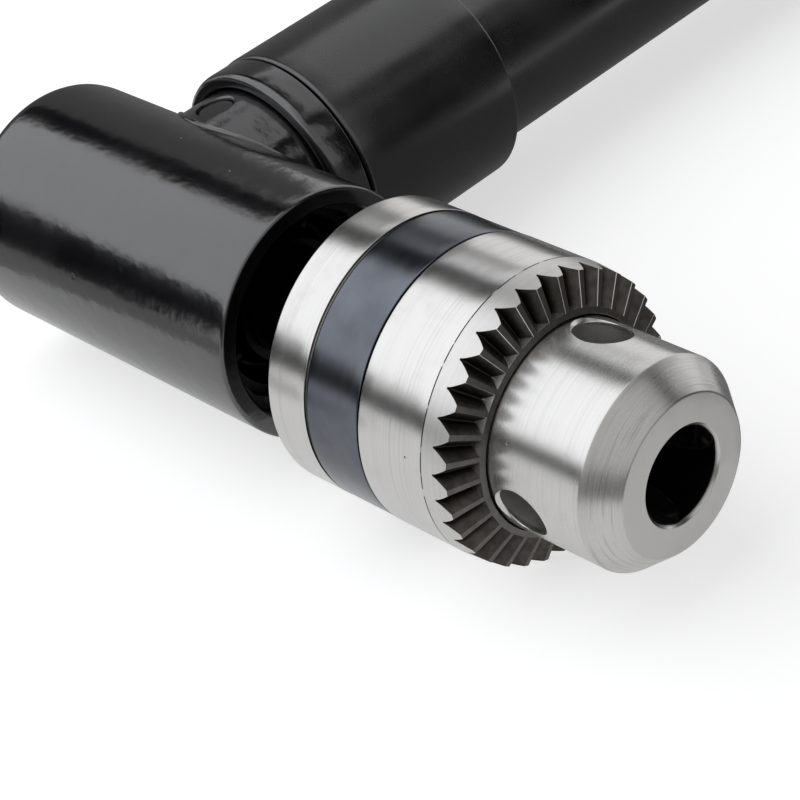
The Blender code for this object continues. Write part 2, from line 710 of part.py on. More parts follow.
def mitre_gear(shop, name, axis, hub_radius, bore_radius, first_space):
    """Make one of the two mitre gears, with its apex at the crossing point."""
    tip_along = PITCH_RADIUS - GEAR_TIP_HEIGHT
    profile = [
        (GEAR_BACK, hub_radius),
        (2.0 * PITCH_RADIUS - hub_radius, hub_radius),
        (tip_along, GEAR_TIP_RADIUS),
        (GEAR_TOE * tip_along, GEAR_TOE * GEAR_TIP_RADIUS),
        (GEAR_TOE_FLOOR, 2.0 * GEAR_TOE * PITCH_RADIUS - GEAR_TOE_FLOOR),
        (GEAR_TOE_FLOOR, bore_radius),
        (GEAR_BACK, bore_radius),
    ]
    gear = shop.piece(name, turned(name, profile, 2 * GEAR_TEETH), axis, PLAIN_STEEL)
    section = mitre_space_section()
    inside = PAST_TOE * GEAR_TOE
    spaces = tooth_spaces(name, section, GEAR_TEETH, first_space, inside, PAST_HEEL)
    cut(gear, shop.tool(name + "_spaces", spaces, axis))
    return gear


def cross_pin(shop, name, axis, hub, shaft, hub_radius):
    """Pin a hub to its shaft: drill both through the hub, and make the pin."""
    middle = (GEAR_HUB_START + GEAR_BACK) / 2.0 + GEAR_PIN_BEHIND
    place = radial(0.0, middle)
    past = 2.0 * hub_radius
    drill = cylinder(name, GEAR_PIN_RADIUS + FIT, -past, past, PIN_STEPS, place)
    drill = shop.tool(name + "_drill", drill, axis)
    cut(hub, drill)
    cut(shaft, drill)
    reach = hub_radius - RUN
    pin = cylinder(name, GEAR_PIN_RADIUS, -reach, reach, PIN_STEPS, place)
    shop.piece(name, pin, axis, PLAIN_STEEL)


def output_spindle(shop):
    """Make the stepped output spindle, from the chuck's thread to the rear journal."""
    nose_radius = SPINDLE_NOSE_RADIUS - FIT
    nose_end = CHUCK_REAR + SPINDLE_NOSE_LENGTH
    rear_end = REAR_BEARING_BACK
    rear_radius = REAR_BORE - FIT
    profile = [
        (nose_end, 0.0),
        (nose_end, nose_radius, SPINDLE_NOSE_EDGE),
        (CHUCK_REAR - RUN, nose_radius),
        (CHUCK_REAR - RUN, SPINDLE_COLLAR_RADIUS),
        (FRONT_BEARING_END + FIT, SPINDLE_COLLAR_RADIUS),
        (FRONT_BEARING_END + FIT, FRONT_BORE - FIT),
        (GEAR_BACK + FIT, FRONT_BORE - FIT),
        (GEAR_BACK + FIT, OUTPUT_SEAT_RADIUS),
        (REAR_BEARING_FRONT + FIT, OUTPUT_SEAT_RADIUS),
        (REAR_BEARING_FRONT + FIT, rear_radius),
        (rear_end, rear_radius),
        (rear_end, 0.0),
    ]
    mesh = turned("output_spindle", profile, SMALL_STEPS)
    return shop.piece("output_spindle", mesh, shop.output, PLAIN_STEEL)


def drive_shaft(shop):
    """Make the shaft from the pinion to the shank, with a clip groove and three flats."""
    groove_start = NECK_CLIP_START - FIT
    groove_end = NECK_CLIP_START + CLIP_THICKNESS + FIT
    profile = [
        (SHANK_END, 0.0),
        (SHANK_END, SHAFT_RADIUS, SHANK_TIP_EDGE),
        (groove_end, SHAFT_RADIUS),
        (groove_end, SHAFT_GROOVE_RADIUS),
        (groove_start, SHAFT_GROOVE_RADIUS),
        (groove_start, SHAFT_RADIUS),
        (GEAR_TOE_FLOOR, SHAFT_RADIUS),
        (GEAR_TOE_FLOOR, 0.0),
    ]
    mesh = turned("drive_shaft", profile, SMALL_STEPS)
    shaft = shop.piece("drive_shaft", mesh, shop.arm, PLAIN_STEEL)
    size = (2.0 * SHAFT_RADIUS, 4.0 * SHAFT_RADIUS, 2.0 * SHANK_FLAT_LENGTH)
    centre = (2.0 * SHAFT_RADIUS - SHANK_FLAT_DEPTH, 0.0, SHANK_END)
    for index in range(3):
        flat = box("shank_flat", size, centre, about_z(index * TURN / 3.0))
        cut(shaft, shop.tool(f"shank_flat_{index + 1}", flat, shop.arm))
    return shaft


def from_chuck_rear(profile):
    """Return a profile that is laid out from the chuck's rear face, moved to its place."""
    return [(CHUCK_REAR + along, *rest) for along, *rest in profile]


def chuck_outside_profile():
    """Return the outside of the chuck body, from the nose back to the rear face."""
    band_radius = CHUCK_RADIUS - BAND_RADIUS_DROP
    groove_start = REAR_RING_LENGTH - BAND_GROOVE_WIDTH / 2.0
    groove_end = REAR_RING_LENGTH + BAND_GROOVE_WIDTH / 2.0
    groove_radius = CHUCK_RADIUS - BAND_GROOVE_DEPTH
    band_end = BAND_END - RUN / 2.0
    return [
        (NOSE_FACE, 0.0),
        (NOSE_FACE, NOSE_FACE_RADIUS),
        (NOSE_CONE_START, NOSE_RADIUS),
        (BODY_SHOULDER, NOSE_RADIUS),
        (BODY_SHOULDER, BODY_LAND_RADIUS),
        (NUT_GROOVE_END, BODY_LAND_RADIUS),
        (NUT_GROOVE_END, NUT_GROOVE_FLOOR_RADIUS),
        (NUT_GROOVE_START, NUT_GROOVE_FLOOR_RADIUS),
        (NUT_GROOVE_START, BODY_LAND_RADIUS),
        (band_end, BODY_LAND_RADIUS),
        (band_end, band_radius, SLEEVE_EDGE),
        (groove_end, band_radius),
        (groove_end, groove_radius),
        (groove_start, groove_radius),
        (groove_start, CHUCK_RADIUS),
        (CHUCK_REAR_CHAMFER, CHUCK_RADIUS),
        (0.0, CHUCK_RADIUS - CHUCK_REAR_CHAMFER),
        (0.0, 0.0),
    ]


def chuck_bores_profile():
    """Return the throat, the draw hole and the thread bore, from past the nose to past the rear."""
    thread_end = SPINDLE_NOSE_LENGTH + RUN
    past = THROAT_RADIUS
    return [
        (NOSE_FACE + past, 0.0),
        (NOSE_FACE + past, THROAT_RADIUS + MOUTH_CHAMFER + past),
        (NOSE_FACE - MOUTH_CHAMFER, THROAT_RADIUS),
        (THROAT_FLOOR, THROAT_RADIUS),
        (THROAT_FLOOR, DRAW_HOLE_RADIUS),
        (thread_end, DRAW_HOLE_RADIUS),
        (thread_end, SPINDLE_NOSE_RADIUS),
        (-past, SPINDLE_NOSE_RADIUS),
        (-past, 0.0),
    ]


def jaw_place(index):
    """Return a jaw's frame: its origin at the tip, Z along its slide, X facing outwards."""
    angle = output_angle(KEY_HOLE_ANGLE + math.pi / JAW_COUNT + index * TURN / JAW_COUNT)
    tip = Matrix.Translation((JAW_OPEN_RADIUS, 0.0, CHUCK_REAR + JAW_TIP_ALONG))
    return about_z(angle) @ tip @ Matrix.Rotation(-JAW_TILT, 4, "Y")


def key_hole(shop, index):
    """Make the cutter of one key hole, with its chamfer and its drill point."""
    angle = output_angle(KEY_HOLE_ANGLE + index * TURN / JAW_COUNT)
    chamfer_floor = NOSE_RADIUS - KEY_HOLE_CHAMFER
    above = NOSE_RADIUS + KEY_HOLE_CHAMFER
    profile = [
        (above, 0.0),
        (above, KEY_HOLE_RADIUS + above - chamfer_floor),
        (chamfer_floor, KEY_HOLE_RADIUS),
        (KEY_HOLE_FLOOR_RADIUS, KEY_HOLE_RADIUS),
        (KEY_HOLE_FLOOR_RADIUS, 0.0),
    ]
    mesh = turned("key_hole", profile, SMALL_STEPS)
    mesh.transform(radial(angle, CHUCK_REAR + KEY_HOLE_ALONG))
    return shop.tool(f"key_hole_{index + 1}", mesh, shop.output)


def chuck_body(shop):
    """Make the chuck body, with its bores, jaw holes and key holes."""
    mesh = turned("chuck_body", from_chuck_rear(chuck_outside_profile()), ROUND_STEPS)
    body = shop.piece("chuck_body", mesh, shop.output, TURNED_STEEL)
    bores = turned("chuck_bores", from_chuck_rear(chuck_bores_profile()), MEDIUM_STEPS)
    cut(body, shop.tool("chuck_bores", bores, shop.output))
    behind = -JAW_LENGTH - RUN
    ahead = NOSE_FACE - JAW_TIP_ALONG + JAW_RADIUS
    for index in range(JAW_COUNT):
        place = jaw_place(index)
        mesh = cylinder("jaw_hole", JAW_RADIUS + RUN, behind, ahead, SMALL_STEPS, place)
        cut(body, shop.tool(f"jaw_hole_{index + 1}", mesh, shop.output))
        cut(body, key_hole(shop, index))


def ring_space_section():
    """Return a groove of the toothed ring at its heel, with the apex as the origin."""
    tip = Vector((RING_TIP_RADIUS, 0.0, -RING_TIP_RADIUS / math.tan(RING_FACE_ANGLE)))
    root = Vector((RING_TIP_RADIUS, 0.0, -RING_TIP_RADIUS / math.tan(RING_ROOT_ANGLE)))
    half_width = (1.0 - RING_LAND_SHARE) * math.pi * RING_TIP_RADIUS / RING_TEETH
    over = root.lerp(tip, PAST_HEEL)
    middle = root.lerp(tip, 0.5)
    flank = [
        middle + Vector((0.0, half_width / 2.0 - RING_FLANK_BULGE, 0.0)),
        tip + Vector((0.0, half_width, 0.0)),
        over + Vector((0.0, half_width * PAST_HEEL, 0.0)),
    ]
    mirror = Matrix.Diagonal((1.0, -1.0, 1.0))
    return [root, *flank, *(mirror @ point for point in reversed(flank))]


def chuck_sleeve(shop):
    """Make the rotating sleeve and cut its ring of teeth, aimed at the key hole's axis.

    The grooves end in a wall, so a thin lip is left round the nose.
    """
    apex = CHUCK_REAR + KEY_HOLE_ALONG
    tip_along = apex - RING_TIP_RADIUS / math.tan(RING_FACE_ANGLE)
    toe_along = apex - SLEEVE_NOSE_RADIUS / math.tan(RING_FACE_ANGLE)
    rear = CHUCK_REAR + BAND_END + RUN / 2.0
    shoulder = CHUCK_REAR + BODY_SHOULDER + RUN
    profile = [
        (toe_along, SLEEVE_NOSE_RADIUS),
        (tip_along, RING_TIP_RADIUS),
        (tip_along - RING_HEEL_LENGTH, CHUCK_RADIUS),
        (rear, CHUCK_RADIUS, SLEEVE_EDGE),
        (rear, SLEEVE_BORE_RADIUS),
        (shoulder, SLEEVE_BORE_RADIUS),
        (shoulder, SLEEVE_NOSE_RADIUS),
    ]
    mesh = turned("chuck_sleeve", profile, 2 * RING_TEETH)
    sleeve = shop.piece("chuck_sleeve", mesh, shop.output, TURNED_STEEL)
    groove_angle = output_angle(RING_GROOVE_ANGLE)
    toe = (SLEEVE_NOSE_RADIUS + RING_TOE_LIP) / RING_TIP_RADIUS
    section = ring_space_section()
    spaces = tooth_spaces("ring_spaces", section, RING_TEETH, groove_angle, toe, PAST_HEEL)
    spaces.transform(Matrix.Translation((0.0, 0.0, apex)))
    cut(sleeve, shop.tool("ring_spaces", spaces, shop.output))


def chuck_nut(shop):
    """Make the two halves of the nut that drives the jaws, coned to clear them."""
    start = CHUCK_REAR + NUT_START
    end = CHUCK_REAR + NUT_END
    tip = CHUCK_REAR + JAW_TIP_ALONG
    side = (JAW_RADIUS + RUN) / math.cos(JAW_TILT) + JAW_OPEN_RADIUS + FIT
    outer = SLEEVE_BORE_RADIUS - FIT
    profile = [
        (end, outer),
        (start, outer),
        (start, side + (tip - start) * math.tan(JAW_TILT)),
        (end, side + (tip - end) * math.tan(JAW_TILT)),
    ]
    reach = 2.0 * CHUCK_RADIUS
    for name, hand in (("chuck_nut_upper", 1.0), ("chuck_nut_lower", -1.0)):
        half = shop.piece(name, turned(name, profile, MEDIUM_STEPS), shop.output, PLAIN_STEEL)
        centre = (hand * (reach - RUN / 2.0), 0.0, (start + end) / 2.0)
        side_box = box(name, (2.0 * reach, 2.0 * reach, reach), centre)
        cut(half, shop.tool(name + "_half", side_box, shop.output))


def chuck_jaw(shop, index):
    """Make one jaw: a tilted rod whose tip is planed to a 120 degree wedge."""
    form = bmesh.new()
    bmesh.ops.create_cone(
        form,
        cap_ends=True,
        segments=SMALL_STEPS,
        radius1=JAW_RADIUS,
        radius2=JAW_RADIUS,
        depth=JAW_LENGTH + 2.0 * JAW_RADIUS,
        matrix=Matrix.Translation((0.0, 0.0, JAW_RADIUS - JAW_LENGTH / 2.0)),
    )
    back_to_axis = Matrix.Rotation(JAW_TILT, 3, "Y")
    wedge = math.radians(60.0)
    planes = (
        Vector((-math.sin(wedge), math.cos(wedge), 0.0)),
        Vector((-math.sin(wedge), -math.cos(wedge), 0.0)),
        Vector((0.0, 0.0, 1.0)),
    )
    for normal in planes:
        cut_by_plane(form, back_to_axis @ normal)
    name = f"chuck_jaw_{index + 1}"
    jaw = shop.piece(name, finished_mesh(name, form), shop.output, PLAIN_STEEL)
    jaw.matrix_local = jaw_place(index)


def cut_by_plane(form, normal):
    """Cut away what lies on the normal's side of a plane through the origin, and cap it."""
    found = bmesh.ops.bisect_plane(
        form,
        geom=[*form.verts, *form.edges, *form.faces],
        plane_co=(0.0, 0.0, 0.0),
        plane_no=normal,
        clear_outer=True,
    )
    edges = [item for item in found["geom_cut"] if isinstance(item, bmesh.types.BMEdge)]
    bmesh.ops.edgeloop_fill(form, edges=edges)


def shade_pieces(shop):
    """Apply each piece's modifiers and shade its round faces smooth."""
    bpy.context.view_layer.update()
    graph = bpy.context.evaluated_depsgraph_get()
    solids = [piece for piece in shop.pieces.objects if piece.type == "MESH"]
    meshes = [bpy.data.meshes.new_from_object(piece.evaluated_get(graph)) for piece in solids]
    for piece, mesh in zip(solids, meshes):
        piece.modifiers.clear()
        mesh.name = piece.name
        mesh.shade_smooth()
        mesh.set_sharp_from_angle(angle=math.radians(30.0))
        piece.data = mesh


def build():
    """Make every piece of the adapter."""
    clear_scene()
    shop = Workshop()
    head_housing(shop)
    neck_set_screw(shop)
    collar_ring(shop)
    handle(shop)
    handle_end_bush(shop)
    neck_bearing_spacer(shop)
    front_circlip(shop)
    neck_circlip(shop)
    shaft_circlip(shop)
    front = (FRONT_BORE, FRONT_OUTER, FRONT_WIDTH, FRONT_BALL)
    rear = (REAR_BORE, REAR_OUTER, REAR_WIDTH, REAR_BALL)
    neck = (NECK_BORE, NECK_OUTER, NECK_WIDTH, NECK_BALL)
    bearing(shop, "front_bearing", shop.output, FRONT_BEARING_START, *front)
    bearing(shop, "rear_bearing", shop.output, REAR_BEARING_BACK, *rear)
    bearing(shop, "neck_bearing_front", shop.arm, NECK_BEARING_1, *neck)
    bearing(shop, "neck_bearing_rear", shop.arm, NECK_BEARING_2, *neck)
    spindle = output_spindle(shop)
    half_pitch = math.pi / GEAR_TEETH
    output_bore = OUTPUT_SEAT_RADIUS + FIT
    facing_arm = output_angle(0.0) + half_pitch
    gear = mitre_gear(
        shop, "output_bevel_gear", shop.output, OUTPUT_HUB_RADIUS, output_bore, facing_arm
    )
    cross_pin(shop, "gear_pin", shop.output, gear, spindle, OUTPUT_HUB_RADIUS)
    shaft = drive_shaft(shop)
    pinion = mitre_gear(
        shop, "drive_pinion", shop.arm, PINION_HUB_RADIUS, SHAFT_RADIUS + FIT, arm_angle(0.0)
    )
    cross_pin(shop, "pinion_pin", shop.arm, pinion, shaft, PINION_HUB_RADIUS)
    chuck_body(shop)
    chuck_sleeve(shop)
    chuck_nut(shop)
    for index in range(JAW_COUNT):
        chuck_jaw(shop, index)
    shade_pieces(shop)


build()
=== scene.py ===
"""The looks of a right angle drill adapter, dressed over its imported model.

Two axes cross at right angles inside the head: the output axis, +X towards the chuck's
nose, and the arm axis, +Y towards the shank. Every turned piece is laid out along one of
them, from the crossing point, and is then put in its place in the mesh itself. Sizes are
in metres. Profiles are lists of (distance along the axis, radius), and a third value eases
that corner.
"""

import logging
import math
from collections.abc import Iterable, Sequence
from dataclasses import dataclass, field
from enum import Enum, IntEnum

import bmesh
import bpy
from mathutils import Matrix, Vector


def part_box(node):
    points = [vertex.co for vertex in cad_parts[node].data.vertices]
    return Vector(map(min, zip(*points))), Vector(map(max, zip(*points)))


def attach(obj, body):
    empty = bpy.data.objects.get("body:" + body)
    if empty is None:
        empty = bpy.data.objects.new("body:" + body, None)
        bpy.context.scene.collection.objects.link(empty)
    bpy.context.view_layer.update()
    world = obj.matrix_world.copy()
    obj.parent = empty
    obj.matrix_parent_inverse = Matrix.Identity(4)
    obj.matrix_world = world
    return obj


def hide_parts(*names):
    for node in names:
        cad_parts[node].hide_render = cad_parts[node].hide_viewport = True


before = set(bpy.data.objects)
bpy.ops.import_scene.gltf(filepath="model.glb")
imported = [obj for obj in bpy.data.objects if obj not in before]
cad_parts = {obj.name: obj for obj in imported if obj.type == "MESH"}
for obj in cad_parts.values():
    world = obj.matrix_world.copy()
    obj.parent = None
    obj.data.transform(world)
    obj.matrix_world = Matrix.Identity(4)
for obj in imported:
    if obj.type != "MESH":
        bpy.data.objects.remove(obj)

MM = 0.001
TURN = 2.0 * math.pi
SHARP_ANGLE = math.radians(28.0)
EASE_STEPS = 5
NOISE_ROUGHNESS = 0.55

Profile = list[tuple[float, ...]]
Triple = tuple[float, float, float]
Colour = Triple

log = logging.getLogger("right_angle_drill_adapter")


class Body(Enum):
    """The moving bodies that pieces ride on."""

    HOUSING = "housing"
    OUTPUT = "output"
    DRIVE = "drive"
    SLEEVE = "sleeve"
    JAW_1 = "jaw_1"
    JAW_2 = "jaw_2"
    JAW_3 = "jaw_3"
    FRONT_BALLS = "front_balls"
    REAR_BALLS = "rear_balls"
    NECK_FRONT_BALLS = "neck_front_balls"
    NECK_REAR_BALLS = "neck_rear_balls"


class Slot(Enum):
    """The record's material slots."""

    PAINT = "black_paint"
    GRIP = "black_grip"
    CHUCK = "chuck_steel"
    PLAIN = "plain_steel"
    BEARING = "bearing_steel"
    BLACKENED = "blackened_steel"
    BRONZE = "bronze"


class Axis(Enum):
    """The two axes, each with a turn that takes local Z to it."""

    OUTPUT = ((0.0, 0.0, 1.0), (1.0, 0.0, 0.0), (0.0, 1.0, 0.0))
    ARM = ((1.0, 0.0, 0.0), (0.0, 0.0, 1.0), (0.0, -1.0, 0.0))

    def turn(self) -> Matrix:
        """Return the turn from the local frame to this axis."""
        return Matrix(self.value).to_4x4()

    def angle(self, seen: float) -> float:
        """Turn an angle seen from the level side towards +Z into one round local Z."""
        return seen if self is Axis.OUTPUT else -seen


class Cut(Enum):
    """What a tool does to a mesh."""

    AWAY = "DIFFERENCE"
    ADD = "UNION"


class Steps(IntEnum):
    """Facets round a full turn, by what is turned."""

    SHELL = 192
    ROUND = 144
    RING = 120
    CORE = 96
    KEY_HOLE = 72
    CAGE = 70
    JAW = 64
    SCREW = 48
    PIN = 24


@dataclass(frozen=True)
class Layout:
    """Where the axes cross, and where the nodes of the frame lie along them."""

    crossing: Vector

    @classmethod
    def from_frame(cls) -> "Layout":
        """Read the crossing point off the collar and the sleeve of the frame."""
        collar_low, collar_high = (Vector(corner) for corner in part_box("collar_ring"))
        sleeve_low, sleeve_high = (Vector(corner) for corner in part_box("chuck_sleeve"))
        arm = (collar_low + collar_high) / 2.0
        output = (sleeve_low + sleeve_high) / 2.0
        return cls(Vector((arm.x, output.y, arm.z)))

    def place(self, axis: Axis) -> Matrix:
        """Return the place of a piece that is laid out along an axis."""
        return Matrix.Translation(self.crossing) @ axis.turn()

    def span(self, node: str, axis: Axis) -> tuple[float, float]:
        """Measure a node along an axis.

        Args:
            node: The node's name.
            axis: The axis to measure along.

        Returns:
            The node's start and end, from the crossing point.
        """
        index = 0 if axis is Axis.OUTPUT else 1
        low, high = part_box(node)
        return low[index] - self.crossing[index], high[index] - self.crossing[index]

    def middle(self, node: str, axis: Axis) -> float:
        """Return the middle of a node along an axis, from the crossing point."""
        return sum(self.span(node, axis)) / 2.0


LAYOUT = Layout.from_frame()
ARM_TO_OUTPUT = Axis.OUTPUT.turn().inverted() @ Axis.ARM.turn()


def eased(profile: Profile) -> list[Vector]:
    """Replace each corner that carries a third value by a small arc.

    Args:
        profile: The corners, as (along, radius) or (along, radius, easing).

    Returns:
        The points of the finished outline.
    """
    points: list[Vector] = []
    for index, corner in enumerate(profile):
        here = Vector(corner[:2])
        if len(corner) == 2:
            points.append(here)
            continue
        before = Vector(profile[index - 1][:2])
        after = Vector(profile[(index + 1) % len(profile)][:2])
        start = here + (before - here).normalized() * corner[2]
        end = here + (after - here).normalized() * corner[2]
        for step in range(EASE_STEPS + 1):
            share = step / EASE_STEPS
            points.append(start.lerp(here, share).lerp(here.lerp(end, share), share))
    return points


def divided(points: Sequence[Vector], longest: float, closed: bool) -> list[Vector]:
    """Add points so that no stretch of an outline is longer than a given length."""
    result: list[Vector] = []
    count = len(points) if closed else len(points) - 1
    for index in range(count):
        start = points[index]
        end = points[(index + 1) % len(points)]
        pieces = max(1, math.ceil((end - start).length / longest))
        result.extend(start.lerp(end, piece / pieces) for piece in range(pieces))
    if not closed:
        result.append(points[-1])
    return result


def turned(
    name: str, profile: Profile, steps: int = Steps.ROUND, longest: float = 4.0 * MM
) -> bpy.types.Mesh:
    """Turn a profile round local Z into a closed mesh.

    Args:
        name: The mesh's name.
        profile: The outline. Where both ends lie on the axis they become poles.
        steps: Facets round a full turn.
        longest: The longest stretch between two rings.

    Returns:
        The mesh, with its faces pointing outwards.
    """
    points = eased(profile)
    closed = min(points[0].y, points[-1].y) > 0.0
    points = divided(points, longest, closed)
    form = bmesh.new()
    rings: list[list[bmesh.types.BMVert]] = []
    for along, radius in points:
        if radius <= 0.0:
            rings.append([form.verts.new((0.0, 0.0, along))] * steps)
            continue
        turns = (index * TURN / steps for index in range(steps))
        circle = ((radius * math.cos(turn), radius * math.sin(turn), along) for turn in turns)
        rings.append([form.verts.new(point) for point in circle])
    pairs = zip(rings, rings[1:] + rings[:1]) if closed else zip(rings, rings[1:])
    for ring, following in pairs:
        for index in range(steps):
            beside = (index + 1) % steps
            corners = [ring[index], ring[beside], following[beside], following[index]]
            form.faces.new(list(dict.fromkeys(corners)))
    return finished_mesh(name, form)


def finished_mesh(name: str, form: bmesh.types.BMesh) -> bpy.types.Mesh:
    """Turn a bmesh into a mesh whose faces point outwards."""
    bmesh.ops.recalc_face_normals(form, faces=form.faces)
    mesh = bpy.data.meshes.new(name)
    form.to_mesh(mesh)
    form.free()
    return mesh


def ring_profile(start: float, end: float, inner: float, outer: float, ease: float) -> Profile:
    """Return the profile of a ring with all four corners eased."""
    return [(end, outer, ease), (start, outer, ease), (start, inner, ease), (end, inner, ease)]


def rod(
    name: str, radius: float, start: float, end: float, steps: int, place: Matrix
) -> bpy.types.Mesh:
    """Make a closed cylinder along local Z of a place."""
    mesh = turned(name, [(end, 0.0), (end, radius), (start, radius), (start, 0.0)], steps)
    mesh.transform(place)
    return mesh


def radial(angle: float, along: float) -> Matrix:
    """Return a turn that takes local Z to the radial direction at an angle round the axis."""
    spin = Matrix.Rotation(angle, 4, "Z")
    return spin @ Matrix.Translation((0.0, 0.0, along)) @ Matrix.Rotation(math.pi / 2.0, 4, "Y")


def shown(name: str, mesh: bpy.types.Mesh) -> bpy.types.Object:
    """Put a mesh into the scene as an object."""
    made = bpy.data.objects.new(name, mesh)
    bpy.context.scene.collection.objects.link(made)
    return made


def baked(guide: bpy.types.Object) -> bpy.types.Mesh:
    """Return the mesh that an object's modifiers make of it, and remove the object."""
    bpy.context.view_layer.update()
    graph = bpy.context.evaluated_depsgraph_get()
    mesh = bpy.data.meshes.new_from_object(guide.evaluated_get(graph))
    mesh.name = guide.name
    bpy.data.objects.remove(guide, do_unlink=True)
    return mesh


def carved(mesh: bpy.types.Mesh, tools: Iterable[tuple[bpy.types.Mesh, Cut]]) -> bpy.types.Mesh:
    """Cut tools away from a mesh, or add them to it, in the order given."""
    guide = shown(mesh.name, mesh)
    helpers = []
    for tool, cut in tools:
        helper = shown(tool.name + "_tool", tool)
        helpers.append(helper)
        step = guide.modifiers.new(tool.name, "BOOLEAN")
        step.operation = cut.value
        step.solver = "EXACT"
        step.object = helper
    result = baked(guide)
    for helper in helpers:
        bpy.data.objects.remove(helper, do_unlink=True)
    return result


def drilled(mesh: bpy.types.Mesh, radius: float, reach: float, place: Matrix) -> bpy.types.Mesh:
    """Drill the hole of a cross pin along local Z of a place, reaching out both ways."""
    hole = rod("pin_hole", radius, -reach, reach, Steps.PIN, place)
    return carved(mesh, [(hole, Cut.AWAY)])


def sheet(name: str, size: tuple[float, float], place: Matrix) -> bpy.types.Mesh:
    """Make a flat rectangle in the XY plane of a place."""
    form = bmesh.new()
    scale = Matrix.Diagonal((*size, 1.0, 1.0))
    bmesh.ops.create_grid(form, x_segments=1, y_segments=1, size=0.5, matrix=place @ scale)
    mesh = bpy.data.meshes.new(name)
    form.to_mesh(mesh)
    form.free()
    return mesh


class Nodes:
    """A node tree, with the one method that adds nodes to it."""

    def __init__(self, tree: bpy.types.NodeTree) -> None:
        """Keep the tree."""
        self.tree = tree

    def node(
        self,
        kind: str,
        settings: dict[str, object] | None = None,
        inputs: dict[str | int, object] | None = None,
    ) -> bpy.types.Node:
        """Add a node to the tree.

        Args:
            kind: The node's type.
            settings: Its settings, which are set first.
            inputs: What goes into its sockets, by name or number.

        Returns:
            The new node.
        """
        made = self.tree.nodes.new(kind)
        for key, value in (settings or {}).items():
            setattr(made, key, value)
        for key, value in (inputs or {}).items():
            self.feed(made.inputs[key], value)
        return made

    def feed(self, socket: bpy.types.NodeSocket, value: object) -> None:
        """Link a socket to a number or another socket, or set it to a plain value."""
        if isinstance(value, Num):
            value = value.socket
        if isinstance(value, bpy.types.NodeSocket):
            self.tree.links.new(value, socket)
        elif socket.type == "RGBA":
            socket.default_value = (*value, 1.0)
        else:
            socket.default_value = value


class Num:
    """A number in a node tree, with which a tree's maths is written."""

    def __init__(self, nodes: Nodes, socket: bpy.types.NodeSocket) -> None:
        """Keep the tree and the socket that gives the number."""
        self.nodes = nodes
        self.socket = socket

    def math(self, operation: str, *others: "Num | float") -> "Num":
        """Return a Math node of this number and others."""
        values = dict(enumerate((self, *others)))
        node = self.nodes.node("ShaderNodeMath", {"operation": operation}, values)
        return Num(self.nodes, node.outputs[0])

    def __add__(self, other: "Num | float") -> "Num":
        """Add a number."""
        return self.math("ADD", other)

    __radd__ = __add__

    def __mul__(self, other: "Num | float") -> "Num":
        """Multiply by a number."""
        return self.math("MULTIPLY", other)

    __rmul__ = __mul__

    def __sub__(self, other: "Num | float") -> "Num":
        """Subtract a number."""
        return self.math("SUBTRACT", other)

    def __rsub__(self, other: float) -> "Num":
        """Subtract this number from another."""
        return self * -1.0 + other

    def __truediv__(self, other: "Num | float") -> "Num":
        """Divide by a number."""
        return self.math("DIVIDE", other)

    def ramp(self, start: float, end: float) -> "Num":
        """Return a smooth step from 0 at start to 1 at end, also where start is the larger."""
        node = self.nodes.node(
            "ShaderNodeMapRange",
            {"interpolation_type": "SMOOTHSTEP"},
            {"Value": self, "From Min": min(start, end), "From Max": max(start, end)},
        )
        found = Num(self.nodes, node.outputs[0])
        return found if start <= end else 1.0 - found

    def within(self, start: float, end: float, soft: float) -> "Num":
        """Return 1 between two limits and 0 outside them."""
        return self.ramp(start - soft, start) * self.ramp(end + soft, end)


